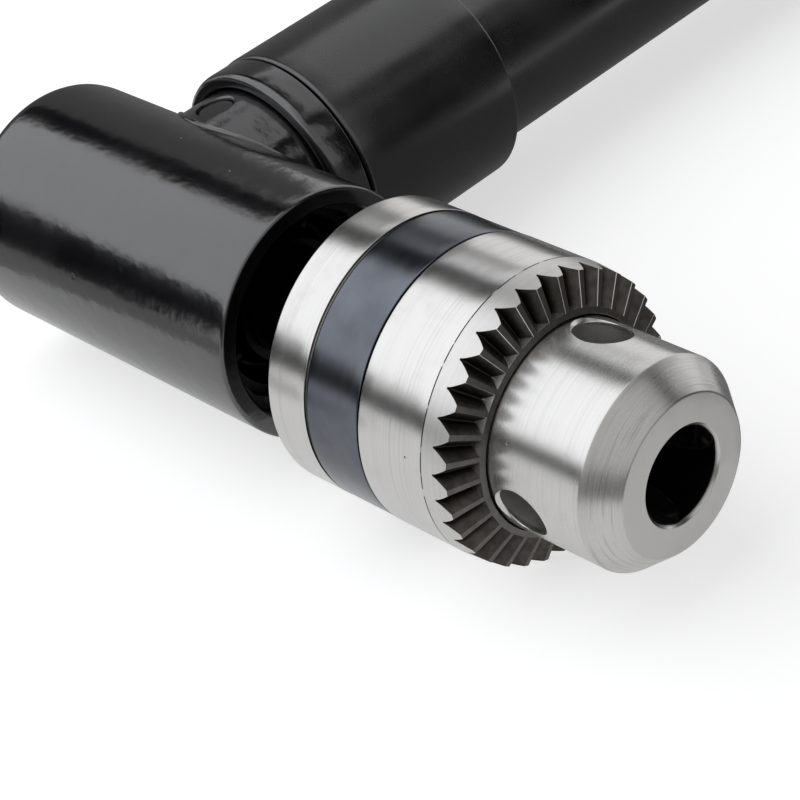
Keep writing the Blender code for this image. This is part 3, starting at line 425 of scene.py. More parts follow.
class Pattern(Nodes):
    """A Geometry Nodes tree that repeats a form round local Z, and may cut it from a blank."""

    def __init__(self, name: str, cuts: bool) -> None:
        """Build the tree.

        Args:
            name: The tree's name.
            cuts: Whether the copies are cut away from the blank, or are the result.
        """
        super().__init__(bpy.data.node_groups.new(name, "GeometryNodeTree"))
        socket = self.tree.interface.new_socket
        socket(name="Blank", in_out="INPUT", socket_type="NodeSocketGeometry")
        self.form = socket(name="Form", in_out="INPUT", socket_type="NodeSocketObject")
        self.count = socket(name="Count", in_out="INPUT", socket_type="NodeSocketInt")
        self.first = socket(name="First Angle", in_out="INPUT", socket_type="NodeSocketFloat")
        self.material = socket(name="Material", in_out="INPUT", socket_type="NodeSocketMaterial")
        socket(name="Result", in_out="OUTPUT", socket_type="NodeSocketGeometry")
        given = self.node("NodeGroupInput").outputs
        form = self.node("GeometryNodeObjectInfo", None, {"Object": given["Form"]})
        points = self.node("GeometryNodePoints", None, {"Count": given["Count"]})
        index = Num(self, self.node("GeometryNodeInputIndex").outputs[0])
        angle = index * TURN / Num(self, given["Count"]) + Num(self, given["First Angle"])
        rotation = self.node("ShaderNodeCombineXYZ", None, {"Z": angle})
        sockets = {
            "Points": points.outputs[0],
            "Instance": form.outputs["Geometry"],
            "Rotation": rotation.outputs[0],
        }
        copies = self.node("GeometryNodeInstanceOnPoints", None, sockets)
        result = self.node("GeometryNodeRealizeInstances", None, {0: copies.outputs[0]})
        if cuts:
            settings = {"operation": "DIFFERENCE", "solver": "EXACT"}
            sockets = {0: given["Blank"], 1: result.outputs[0]}
            cut = self.node("GeometryNodeMeshBoolean", settings, sockets)
            result = self.node("GeometryNodeRealizeInstances", None, {0: cut.outputs[0]})
        sockets = {"Geometry": result.outputs[0], "Material": given["Material"]}
        dressed_form = self.node("GeometryNodeSetMaterial", None, sockets)
        self.node("NodeGroupOutput", None, {0: dressed_form.outputs[0]})

    def made(
        self,
        blank: bpy.types.Mesh,
        form: bpy.types.Mesh,
        count: int,
        first: float,
        material: bpy.types.Material,
    ) -> bpy.types.Mesh:
        """Run the tree on a blank.

        Args:
            blank: The mesh that the copies are cut from. A tree that doesn't cut ignores it.
            form: The form to repeat.
            count: How many copies.
            first: The angle of the first copy round local Z.
            material: The material of the result.

        Returns:
            The plain mesh that the tree makes.
        """
        guide = shown(blank.name, blank)
        helper = shown(form.name + "_form", form)
        step = guide.modifiers.new(self.tree.name, "NODES")
        step.node_group = self.tree
        step[self.form.identifier] = helper
        step[self.count.identifier] = count
        step[self.first.identifier] = first
        step[self.material.identifier] = material
        result = baked(guide)
        bpy.data.objects.remove(helper, do_unlink=True)
        return result


RING_OF_CUTS = Pattern("ring_of_cuts", cuts=True)
RING_OF_COPIES = Pattern("ring_of_copies", cuts=False)


@dataclass(frozen=True)
class Noise:
    """Smooth noise in features to the metre, and the limits between which its patches rise."""

    scale: float
    detail: float = 2.0
    low: float = 0.0
    high: float = 1.0

    def patches(self, noise: Num) -> Num:
        """Return 0 where the noise is under the low limit and 1 where it is over the high one."""
        return noise.ramp(self.low, self.high)


@dataclass(frozen=True)
class Specks:
    """Small round specks in a lattice of so many cells to the metre.

    The size is a speck's radius as a share of its cell, and the core is the full part of it.
    Only a share of the cells hold a speck.
    """

    scale: float
    size: float
    share: float
    core: float = 0.5
    sure: float = 0.9


class Shader(Nodes):
    """One material's node tree, with a Principled node to feed."""

    def __init__(self, name: str) -> None:
        """Start a material."""
        self.material = bpy.data.materials.new(name)
        self.material.use_nodes = True
        super().__init__(self.material.node_tree)
        self.principled = self.tree.nodes["Principled BSDF"]
        self.place = self.node("ShaderNodeTexCoord").outputs["Object"]

    def mapped(self, scale: Sequence[float]) -> bpy.types.NodeSocket:
        """Return the object coordinates, scaled along each axis."""
        inputs = {"Vector": self.place, "Scale": list(scale)}
        return self.node("ShaderNodeMapping", {"vector_type": "POINT"}, inputs).outputs[0]

    def noise(self, noise: Noise, vector: bpy.types.NodeSocket | None = None) -> Num:
        """Return smooth noise over the object, or over another vector."""
        inputs = {
            "Vector": self.place if vector is None else vector,
            "Scale": noise.scale,
            "Detail": noise.detail,
            "Roughness": NOISE_ROUGHNESS,
        }
        return Num(self, self.node("ShaderNodeTexNoise", None, inputs).outputs[0])

    def patches(self, noise: Noise, vector: bpy.types.NodeSocket | None = None) -> Num:
        """Return the patches of a noise over the object, or over another vector."""
        return noise.patches(self.noise(noise, vector))

    def specks(self, specks: Specks) -> Num:
        """Return 1 in the middle of each speck, and 0 outside them."""
        inputs = {"Vector": self.place, "Scale": specks.scale}
        cells = self.node("ShaderNodeTexVoronoi", None, inputs)
        parts = self.node("ShaderNodeSeparateColor", None, {0: cells.outputs["Color"]})
        chance = Num(self, parts.outputs[0]).ramp(specks.share, specks.sure * specks.share)
        distance = Num(self, cells.outputs["Distance"])
        return distance.ramp(specks.size, specks.core * specks.size) * chance

    def mix(self, share: Num | float, first: object, second: object) -> bpy.types.NodeSocket:
        """Mix two colours by a share of the second."""
        node = self.node("ShaderNodeMix", {"data_type": "RGBA"}, {0: share, 6: first, 7: second})
        return node.outputs[2]

    def bump(
        self, height: Num, distance: float, normal: bpy.types.NodeSocket | None = None
    ) -> bpy.types.NodeSocket:
        """Return the normal of a relief whose height of 1 is a given distance."""
        inputs: dict[str | int, object] = {"Strength": 1.0, "Distance": distance, "Height": height}
        if normal is not None:
            inputs["Normal"] = normal
        return self.node("ShaderNodeBump", None, inputs).outputs[0]

    def finish(self, **sockets: object) -> bpy.types.Material:
        """Feed the Principled node by socket name, with _ for each space."""
        for name, value in sockets.items():
            self.feed(self.principled.inputs[name.replace("_", " ")], value)
        return self.material


def shade(colour: Colour, share: float) -> Colour:
    """Return a colour darkened to a share of itself."""
    return tuple(share * part for part in colour)


@dataclass(frozen=True)
class GlossPaint:
    """Thick gloss paint: orange peel, small pits and a few specks of dust."""

    slot: Slot = Slot.PAINT
    colour: Colour = (0.0035, 0.0035, 0.0045)
    dust_colour: Colour = (0.20, 0.20, 0.22)
    roughness: float = 0.15
    haze_roughness: float = 0.07
    dust_roughness: float = 0.4
    ior: float = 1.98
    haze: Noise = Noise(75.0, 4.0, 0.35, 0.75)
    dust: Specks = Specks(260.0, 0.05, 0.08)
    pits: Specks = Specks(330.0, 0.16, 0.12)
    pit_height: float = 0.012 * MM
    sag: Noise = Noise(210.0)
    peel: Noise = Noise(780.0, 3.0)
    sag_height: float = 1.6
    peel_height: float = 0.55
    wave_height: float = 0.05 * MM

    def made(self, name: str) -> bpy.types.Material:
        """Make the material."""
        shader = Shader(name)
        sag = shader.noise(self.sag) * self.sag_height
        peel = shader.noise(self.peel) * self.peel_height
        relief = shader.bump(sag + peel, self.wave_height)
        relief = shader.bump(1.0 - shader.specks(self.pits), self.pit_height, relief)
        haze = shader.patches(self.haze) * self.haze_roughness
        dust = shader.specks(self.dust)
        return shader.finish(
            Base_Color=shader.mix(dust, self.colour, self.dust_colour),
            Roughness=haze + dust * self.dust_roughness + self.roughness,
            Normal=relief,
            IOR=self.ior,
        )


@dataclass(frozen=True)
class GripCoat:
    """Semi-matte black coating of the handle, with soft unevenness along it."""

    slot: Slot = Slot.GRIP
    colour: Colour = (0.0025, 0.0022, 0.0025)
    worn: Colour = (0.007, 0.006, 0.0067)
    dust_colour: Colour = (0.16, 0.16, 0.16)
    roughness: float = 0.2
    wear_roughness: float = 0.08
    grain_roughness: float = 0.06
    ior: float = 1.87
    wear: Noise = Noise(60.0, 4.0, 0.35, 0.7)
    dust: Specks = Specks(150.0, 0.03, 0.06)
    flow: Noise = Noise(130.0)
    flow_stretch: tuple[float, float, float] = (1.0, 0.35, 1.0)
    flow_height: float = 0.09 * MM
    grain: Noise = Noise(5200.0)
    grain_height: float = 0.0012 * MM

    def made(self, name: str) -> bpy.types.Material:
        """Make the material."""
        shader = Shader(name)
        flow = shader.noise(self.flow, shader.mapped(self.flow_stretch))
        grain = shader.noise(self.grain)
        relief = shader.bump(flow, self.flow_height)
        relief = shader.bump(grain, self.grain_height, relief)
        wear = shader.patches(self.wear)
        colour = shader.mix(wear, self.colour, self.worn)
        return shader.finish(
            Base_Color=shader.mix(shader.specks(self.dust), colour, self.dust_colour),
            Roughness=wear * self.wear_roughness + grain * self.grain_roughness + self.roughness,
            Normal=relief,
            IOR=self.ior,
        )


@dataclass(frozen=True)
class TurnedSteel:
    """Steel turned round one axis: fine lines round it, light stains and a few pits."""

    slot: Slot
    axis: Axis
    colour: Colour
    stain: Colour
    roughness: float = 0.24
    metallic: float = 1.0
    lines: Noise = Noise(1.0, 3.0, 0.45, 0.75)
    line_scale: float = 5200.0
    line_stretch: float = 0.004
    line_height: float = 0.0011 * MM
    line_shade: float = 0.7
    line_share: float = 0.30
    line_roughness: float = 0.10
    clouds: Noise = Noise(170.0, 4.0, 0.52, 0.75)
    cloud_share: float = 0.6
    cloud_roughness: float = 0.06
    pits: Specks = Specks(420.0, 0.09, 0.05)
    pit_colour: Colour = (0.05, 0.045, 0.04)
    pit_share: float = 0.8
    pit_height: float = 0.02 * MM
    pit_roughness: float = 0.3

    def layers(self, shader: Shader) -> tuple[bpy.types.NodeSocket, Num, bpy.types.NodeSocket]:
        """Make the colour, roughness and normal that every turned steel shares."""
        along = self.line_scale
        soft = self.line_stretch * along
        scale = (along, soft, soft) if self.axis is Axis.OUTPUT else (soft, along, soft)
        lines = shader.noise(self.lines, shader.mapped(scale))
        clouds = shader.noise(self.clouds)
        pits = shader.specks(self.pits)
        line_colour = shade(self.colour, self.line_shade)
        cloud_mask = self.clouds.patches(clouds) * self.cloud_share
        colour = shader.mix(cloud_mask, self.colour, self.stain)
        colour = shader.mix(self.lines.patches(lines) * self.line_share, colour, line_colour)
        colour = shader.mix(pits * self.pit_share, colour, self.pit_colour)
        uneven = lines * self.line_roughness + clouds * self.cloud_roughness
        mean = (self.line_roughness + self.cloud_roughness) / 2.0
        roughness = uneven + pits * self.pit_roughness + (self.roughness - mean)
        relief = shader.bump(lines, self.line_height)
        relief = shader.bump(1.0 - pits, self.pit_height, relief)
        return colour, roughness, relief

    def made(self, name: str) -> bpy.types.Material:
        """Make the material."""
        shader = Shader(name)
        colour, roughness, relief = self.layers(shader)
        return shader.finish(
            Base_Color=colour, Roughness=roughness, Normal=relief, Metallic=self.metallic
        )


@dataclass(frozen=True)
class Zone:
    """How much painted shade darkens a zone of the chuck, and how much rougher the zone is."""

    rougher: float
    darker: float = 0.0


@dataclass(frozen=True)
class ChuckSteel(TurnedSteel):
    """The chuck's steel, with the zones that its making and its use have left on it, and painted
    shade.

    The places of the zones are measured along the output axis, from the crossing point. Painted
    shade darkens the rear chamfer, the nose face, the cone, the walls of the key holes, the throat
    and the roots of the grooves.
    """

    shadow: Colour = (0.45, 0.45, 0.45)
    oxide: Colour = (0.142, 0.152, 0.176)
    oxide_edge: Colour = (0.02, 0.02, 0.025)
    oxide_shade: float = 0.62
    mottle: Noise = Noise(110.0, 5.0, 0.3, 0.75)
    nicks: Noise = Noise(520.0, 3.0, 0.33, 0.45)
    pressed: Colour = (0.098, 0.09, 0.08)
    # Grime, and the painted shade at the roots of the grooves.
    grime_and_root_shade: Colour = (0.035, 0.031, 0.027)
    dirt: Noise = Noise(900.0, 3.0, 0.25, 0.8)
    dirt_share: float = 0.75
    # Painted shade: the depth range and share by which the roots of the grooves are darkened.
    root: tuple[float, float] = (1.4, 2.0)
    root_share: float = 0.85
    # Painted shade: the near-black of the inside of the throat.
    throat_shade: Colour = (0.02, 0.02, 0.02)
    # The colour of the cone's turning marks and of the painted shade over the whole cone.
    cone_mark_and_shade_colour: Colour = (0.17, 0.16, 0.155)
    cone_marks: Noise = Noise(1.0, 3.0, 0.54, 0.70)
    cone_stretch: tuple[float, float, float] = (4200.0, 130.0, 130.0)
    cone_mark_share: float = 0.3
    face: Zone = Zone(0.1, 0.34)
    walls: Zone = Zone(0.2, 0.4)
    cone: Zone = Zone(0.05, 0.1)
    groove: Zone = Zone(0.15)
    throat: Zone = Zone(0.2)
    lands: Zone = Zone(0.16)
    nose: Zone = Zone(0.035)
    soft: float = 0.05 * MM
    nose_soft: float = 0.5 * MM
    chamfer_soft: float = 0.04 * MM
    face_depth: tuple[float, float] = (0.06 * MM, 0.02 * MM)
    wall_depth: tuple[float, float] = (0.35 * MM, 0.8 * MM)
    band_soft: float = 0.03 * MM
    band_rear_edge: float = 0.24 * MM
    band_front_edge: float = 0.08 * MM
    band_edge_soft: float = 0.06 * MM
    score_depth: float = 0.3 * MM
    score_soft: float = 0.4
    throat_width: tuple[float, float] = (0.25 * MM, 0.1 * MM)
    throat_mouth: float = 0.6 * MM
    cone_depth: float = 0.2 * MM
    chamfer_end: float = 0.0
    band_start: float = 0.0
    band_end: float = 0.0
    score: float = 0.0
    score_width: float = 0.13 * MM
    score_radius: float = 0.0
    tooth_tips: float = 0.0
    nose_radius: float = 0.0
    key_along: float = 0.0
    key_radius: float = 0.0
    throat_radius: float = 0.0
    face_radius: float = 0.0
    nose_face: float = 0.0
    cone_start: float = 0.0

    def shaded(
        self, shader: Shader, mask: Num, colour: bpy.types.NodeSocket
    ) -> bpy.types.NodeSocket:
        """Darken a colour by the shadow where the mask is 1."""
        settings = {"data_type": "RGBA", "blend_type": "MULTIPLY"}
        inputs = {0: mask, 6: colour, 7: self.shadow}
        return shader.node("ShaderNodeMix", settings, inputs).outputs[2]

    def banded(
        self, shader: Shader, along: Num, colour: bpy.types.NodeSocket
    ) -> bpy.types.NodeSocket:
        """Lay the mottled oxide band with its dark edges over a colour."""
        start, end = self.band_start + self.band_rear_edge, self.band_end - self.band_front_edge
        inner = along.within(start, end, self.band_edge_soft)
        mottle = shader.patches(self.mottle)
        oxide = shader.mix(mottle, self.oxide, shade(self.oxide, self.oxide_shade))
        oxide = shader.mix(inner, self.oxide_edge, oxide)
        band = along.within(self.band_start, self.band_end, self.band_soft)
        return shader.mix(band, colour, oxide)

    def scored(
        self, shader: Shader, along: Num, outside: Num, colour: bpy.types.NodeSocket
    ) -> bpy.types.NodeSocket:
        """Lay the nicked score line round the sleeve over a colour."""
        half = self.score_width / 2.0
        soft = self.score_soft * half
        score = along.within(self.score - half, self.score + half, soft)
        return shader.mix(score * shader.patches(self.nicks) * outside, colour, self.oxide_edge)

    def grooved(
        self, shader: Shader, marked: Num, groove: Num, colour: bpy.types.NodeSocket
    ) -> bpy.types.NodeSocket:
        """Lay the pressed grey, the grime of the grooves and the painted shade towards their roots
        over a colour.
        """
        dirt = shader.patches(self.dirt) * self.dirt_share
        dirt_and_root_shade = shader.mix(dirt, self.pressed, self.grime_and_root_shade)
        # Painted shade: the grooves darken towards their roots.
        dirt_and_root_shade = shader.mix(marked.ramp(*self.root) * self.root_share, dirt_and_root_shade, self.grime_and_root_shade)
        return shader.mix(groove, colour, dirt_and_root_shade)

    def made(self, name: str) -> bpy.types.Material:
        """Make the material."""
        shader = Shader(name)
        colour, roughness, relief = self.layers(shader)
        parts = shader.node("ShaderNodeSeparateXYZ", None, {0: shader.place}).outputs
        along = Num(shader, parts[0]) - LAYOUT.crossing.x
        across = Num(shader, parts[1]) - LAYOUT.crossing.y
        up = Num(shader, parts[2]) - LAYOUT.crossing.z
        radius = (across * across + up * up).math("SQRT")
        attribute = shader.node("ShaderNodeAttribute", {"attribute_name": "groove"})
        marked = Num(shader, attribute.outputs["Fac"])

        groove = marked.math("MINIMUM", 1.0)
        chamfer = along.ramp(self.chamfer_end + self.chamfer_soft, self.chamfer_end)
        face = along.ramp(*(self.nose_face - depth for depth in self.face_depth))
        walls = radius.ramp(*(self.nose_radius - depth for depth in self.wall_depth))
        key_start, key_end = self.key_along - self.key_radius, self.key_along + self.key_radius
        walls = walls * along.within(key_start, key_end, self.soft)
        outside = radius.ramp(self.score_radius - self.score_depth, self.score_radius)
        lands = along.within(self.score, self.tooth_tips, self.soft) * outside
        throat = radius.ramp(*(self.throat_radius + width for width in self.throat_width))
        throat = throat * along.ramp(self.nose_face, self.nose_face - self.throat_mouth)
        cone = along.within(self.cone_start, self.nose_face - self.soft, self.soft)
        cone = cone * radius.ramp(self.face_radius - self.cone_depth, self.face_radius)
        marks_and_shade = shader.patches(self.cone_marks, shader.mapped(self.cone_stretch)) * cone
        nose = along.within(self.tooth_tips, self.cone_start, self.nose_soft)

        shadow = chamfer + walls * self.walls.darker + face * self.face.darker
        colour = self.shaded(shader, shadow, colour)
        colour = self.banded(shader, along, colour)
        colour = self.scored(shader, along, outside, colour)
        colour = self.grooved(shader, marked, groove, colour)
        # Painted shade: the inside of the throat is darkened nearly to black.
        colour = shader.mix(throat, colour, self.throat_shade)
        # Painted shade: the whole cone is darkened a little, besides its turning marks.
        marks_and_shade = marks_and_shade * self.cone_mark_share + cone * self.cone.darker
        colour = shader.mix(marks_and_shade, colour, self.cone_mark_and_shade_colour)
        for mask, zone in (
            (groove, self.groove),
            (throat, self.throat),
            (lands, self.lands),
            (face, self.face),
            (cone, self.cone),
            (walls, self.walls),
            (nose, self.nose),
        ):
            roughness = roughness + mask * zone.rougher
        return shader.finish(
            Base_Color=colour, Roughness=roughness, Normal=relief, Metallic=self.metallic
        )


@dataclass(frozen=True)
class BlackOxide:
    """Blackened spring steel, a little worn where it is handled."""

    slot: Slot = Slot.BLACKENED
    colour: Colour = (0.03, 0.03, 0.033)
    worn: Colour = (0.12, 0.12, 0.12)
    roughness: float = 0.42
    wear_roughness: float = -0.1
    metallic: float = 0.8
    wear: Noise = Noise(500.0, 4.0, 0.55, 0.8)
    grain: Noise = Noise(2500.0)
    grain_height: float = 0.004 * MM

    def made(self, name: str) -> bpy.types.Material:
        """Make the material."""
        shader = Shader(name)
        wear = shader.patches(self.wear)
        return shader.finish(
            Base_Color=shader.mix(wear, self.colour, self.worn),
            Roughness=wear * self.wear_roughness + self.roughness,
            Normal=shader.bump(shader.noise(self.grain), self.grain_height),
            Metallic=self.metallic,
        )


@dataclass(frozen=True)
class SinteredBronze:
    """Oil-filled sintered bronze, with its open grain."""

    slot: Slot = Slot.BRONZE
    colour: Colour = (0.42, 0.25, 0.11)
    pore_colour: Colour = (0.13, 0.07, 0.03)
    roughness: float = 0.36
    pores: Specks = Specks(2600.0, 0.35, 0.6)
    pore_roughness: float = 0.25
    pore_depth: float = 0.01 * MM

    def made(self, name: str) -> bpy.types.Material:
        """Make the material."""
        shader = Shader(name)
        pores = shader.specks(self.pores)
        return shader.finish(
            Base_Color=shader.mix(pores, self.colour, self.pore_colour),
            Roughness=pores * self.pore_roughness + self.roughness,
            Normal=shader.bump(1.0 - pores, self.pore_depth),
            Metallic=1.0,
        )


Finish = GlossPaint | GripCoat | TurnedSteel | BlackOxide | SinteredBronze


class Wardrobe:
    """Makes each finish once and hands its material out again."""

    def __init__(self) -> None:
        """Start with no materials."""
        self.materials: dict[Finish, bpy.types.Material] = {}

    def material(self, finish: Finish) -> bpy.types.Material:
        """Return the material of a finish."""
        if finish not in self.materials:
            name = f"{finish.slot.value}_{len(self.materials) + 1}"
            self.materials[finish] = finish.made(name)
        return self.materials[finish]


WARDROBE = Wardrobe()

PLAIN: Colour = (0.50, 0.50, 0.49)
PLAIN_STAIN: Colour = (0.40, 0.38, 0.35)
GROUND: Colour = (0.60, 0.61, 0.62)
GROUND_STAIN: Colour = (0.50, 0.49, 0.47)
# Painted shade: these grease colours are nearly black for the shade inside the head as well as for
# the grease.
GREASE_AND_SHADE: Colour = (0.014, 0.013, 0.012)
GREASE_AND_SHADE_STAIN: Colour = (0.007, 0.006, 0.005)

PAINT = GlossPaint()
GRIP = GripCoat()
PLAIN_ALONG_ARM = TurnedSteel(Slot.PLAIN, Axis.ARM, PLAIN, PLAIN_STAIN, 0.28)
PLAIN_ALONG_OUTPUT = TurnedSteel(Slot.PLAIN, Axis.OUTPUT, PLAIN, PLAIN_STAIN, 0.30)
# Painted shade: the spindle between the head and the chuck is nearly black, for its shade as well
# as its grease.
SHADED_GREASED_SPINDLE = TurnedSteel(Slot.PLAIN, Axis.OUTPUT, (0.04, 0.037, 0.034), GREASE_AND_SHADE, 0.34)
BEARING_ON_OUTPUT = TurnedSteel(Slot.BEARING, Axis.OUTPUT, GROUND, GROUND_STAIN, 0.20)
BEARING_ON_ARM = TurnedSteel(Slot.BEARING, Axis.ARM, GROUND, GROUND_STAIN, 0.20)
# Painted shade: the front bearing in the head's mouth is nearly black, for the shade there as well
# as its grease.
SHADED_GREASED_BEARING = TurnedSteel(Slot.BEARING, Axis.OUTPUT, GREASE_AND_SHADE, GREASE_AND_SHADE_STAIN, 0.30)
JAW_STEEL = TurnedSteel(Slot.PLAIN, Axis.OUTPUT, (0.22, 0.21, 0.20), (0.14, 0.13, 0.12), 0.32)
OXIDE = BlackOxide()
PAINTED_OVER = GlossPaint(slot=Slot.BLACKENED)
BRONZE = SinteredBronze()


def dressed(
    name: str,
    mesh: bpy.types.Mesh,
    axis: Axis,
    body: Body,
    finish: Finish,
    nodes: Sequence[str],
) -> bpy.types.Object:
    """Put a piece in its place, give it its finish and hang it on its body.

    Args:
        name: The piece's name.
        mesh: Its mesh, laid out along the axis from the crossing point.
        axis: The axis that it is laid out along.
        body: The body that it rides on.
        finish: Its finish.
        nodes: The nodes of the frame that it stands for.

    Returns:
        The finished piece.
    """
    mesh.transform(LAYOUT.place(axis))
    mesh.materials.clear()
    mesh.materials.append(WARDROBE.material(finish))
    for polygon in mesh.polygons:
        polygon.material_index = 0
    mesh.shade_smooth()
    mesh.set_sharp_from_angle(angle=SHARP_ANGLE)
    piece = shown(name, mesh)
    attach(piece, body.value)
    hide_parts(*nodes)
    log.info("%s: %d faces, for %s", name, len(mesh.polygons), ", ".join(nodes))
    return piece


@dataclass(frozen=True)
class BallBearing:
    """A ball bearing: two ground rings and a caged set of balls.

    The rings and the balls are given by their nodes, and its place comes from the frame.
    """

    node: str
    axis: Axis
    finish: Finish
    balls_body: Body
    inner_body: Body
    bore: float
    outer: float
    ball: float
    fit: float = 0.2 * MM
    run: float = 0.3 * MM
    ease: float = 0.35 * MM
    count: int = 7
    ball_levels: int = 3
    race_steps: int = 4
    land_share: float = 0.62
    cage_height: float = 0.10
    cage_width: float = 0.42
    cage_edge: float = 0.05 * MM

    @property
    def pitch(self) -> float:
        """Return the radius on which the balls run."""
        return (self.bore + self.outer) / 2.0

    def race(self, land: float, side: float, middle: float) -> Profile:
        """Return the round groove of a race, from its rear edge to its front edge."""
        reach = self.ball + self.run / 2.0
        half = math.sqrt(reach**2 - (land - self.pitch) ** 2)
        points: Profile = []
        for step in range(2 * self.race_steps + 1):
            offset = half * (step / self.race_steps - 1.0)
            radius = self.pitch + side * math.sqrt(reach**2 - offset**2)
            points.append((middle + offset, radius))
        return points

    def build(self) -> None:
        """Make both rings, the balls and their cage."""
        start, end = LAYOUT.span(self.node + "_outer", self.axis)
        middle = (start + end) / 2.0
        outer_land = self.pitch + self.land_share * self.ball
        inner_land = self.pitch - self.land_share * self.ball
        outside = self.outer - self.fit
        profile = [
            (end, outside, self.ease),
            (start, outside, self.ease),
            (start, outer_land),
            *self.race(outer_land, 1.0, middle),
            (end, outer_land),
        ]
        mesh = turned(self.node + "_outer_ring", profile, Steps.RING)
        dressed(mesh.name, mesh, self.axis, Body.HOUSING, self.finish, [self.node + "_outer"])
        profile = [
            (end, inner_land),
            *reversed(self.race(inner_land, -1.0, middle)),
            (start, inner_land),
            (start, self.bore, self.ease),
            (end, self.bore, self.ease),
        ]
        mesh = turned(self.node + "_inner_ring", profile, Steps.CORE)
        dressed(mesh.name, mesh, self.axis, self.inner_body, self.finish, [self.node + "_inner"])
        self.build_balls(middle)

    def build_balls(self, middle: float) -> None:
        """Make the balls with a tree that repeats one, and add their ribbon cage."""
        form = bmesh.new()
        place = Matrix.Translation((self.pitch, 0.0, middle))
        radius = self.ball - self.run / 2.0
        bmesh.ops.create_icosphere(
            form, subdivisions=self.ball_levels, radius=radius, matrix=place
        )
        ball = finished_mesh(self.node + "_ball", form)
        blank = bpy.data.meshes.new(self.node + "_caged_balls")
        material = WARDROBE.material(self.finish)
        balls = RING_OF_COPIES.made(blank, ball, self.count, 0.0, material)
        height = self.cage_height * self.ball
        width = self.cage_width * self.ball
        inner, outer = self.pitch - height, self.pitch + height
        profile = ring_profile(middle - width, middle + width, inner, outer, self.cage_edge)
        joined = carved(turned("cage", profile, Steps.CAGE), [(balls, Cut.ADD)])
        joined.name = self.node + "_caged_balls"
        nodes = [self.node + "_balls"]
        dressed(joined.name, joined, self.axis, self.balls_body, self.finish, nodes)


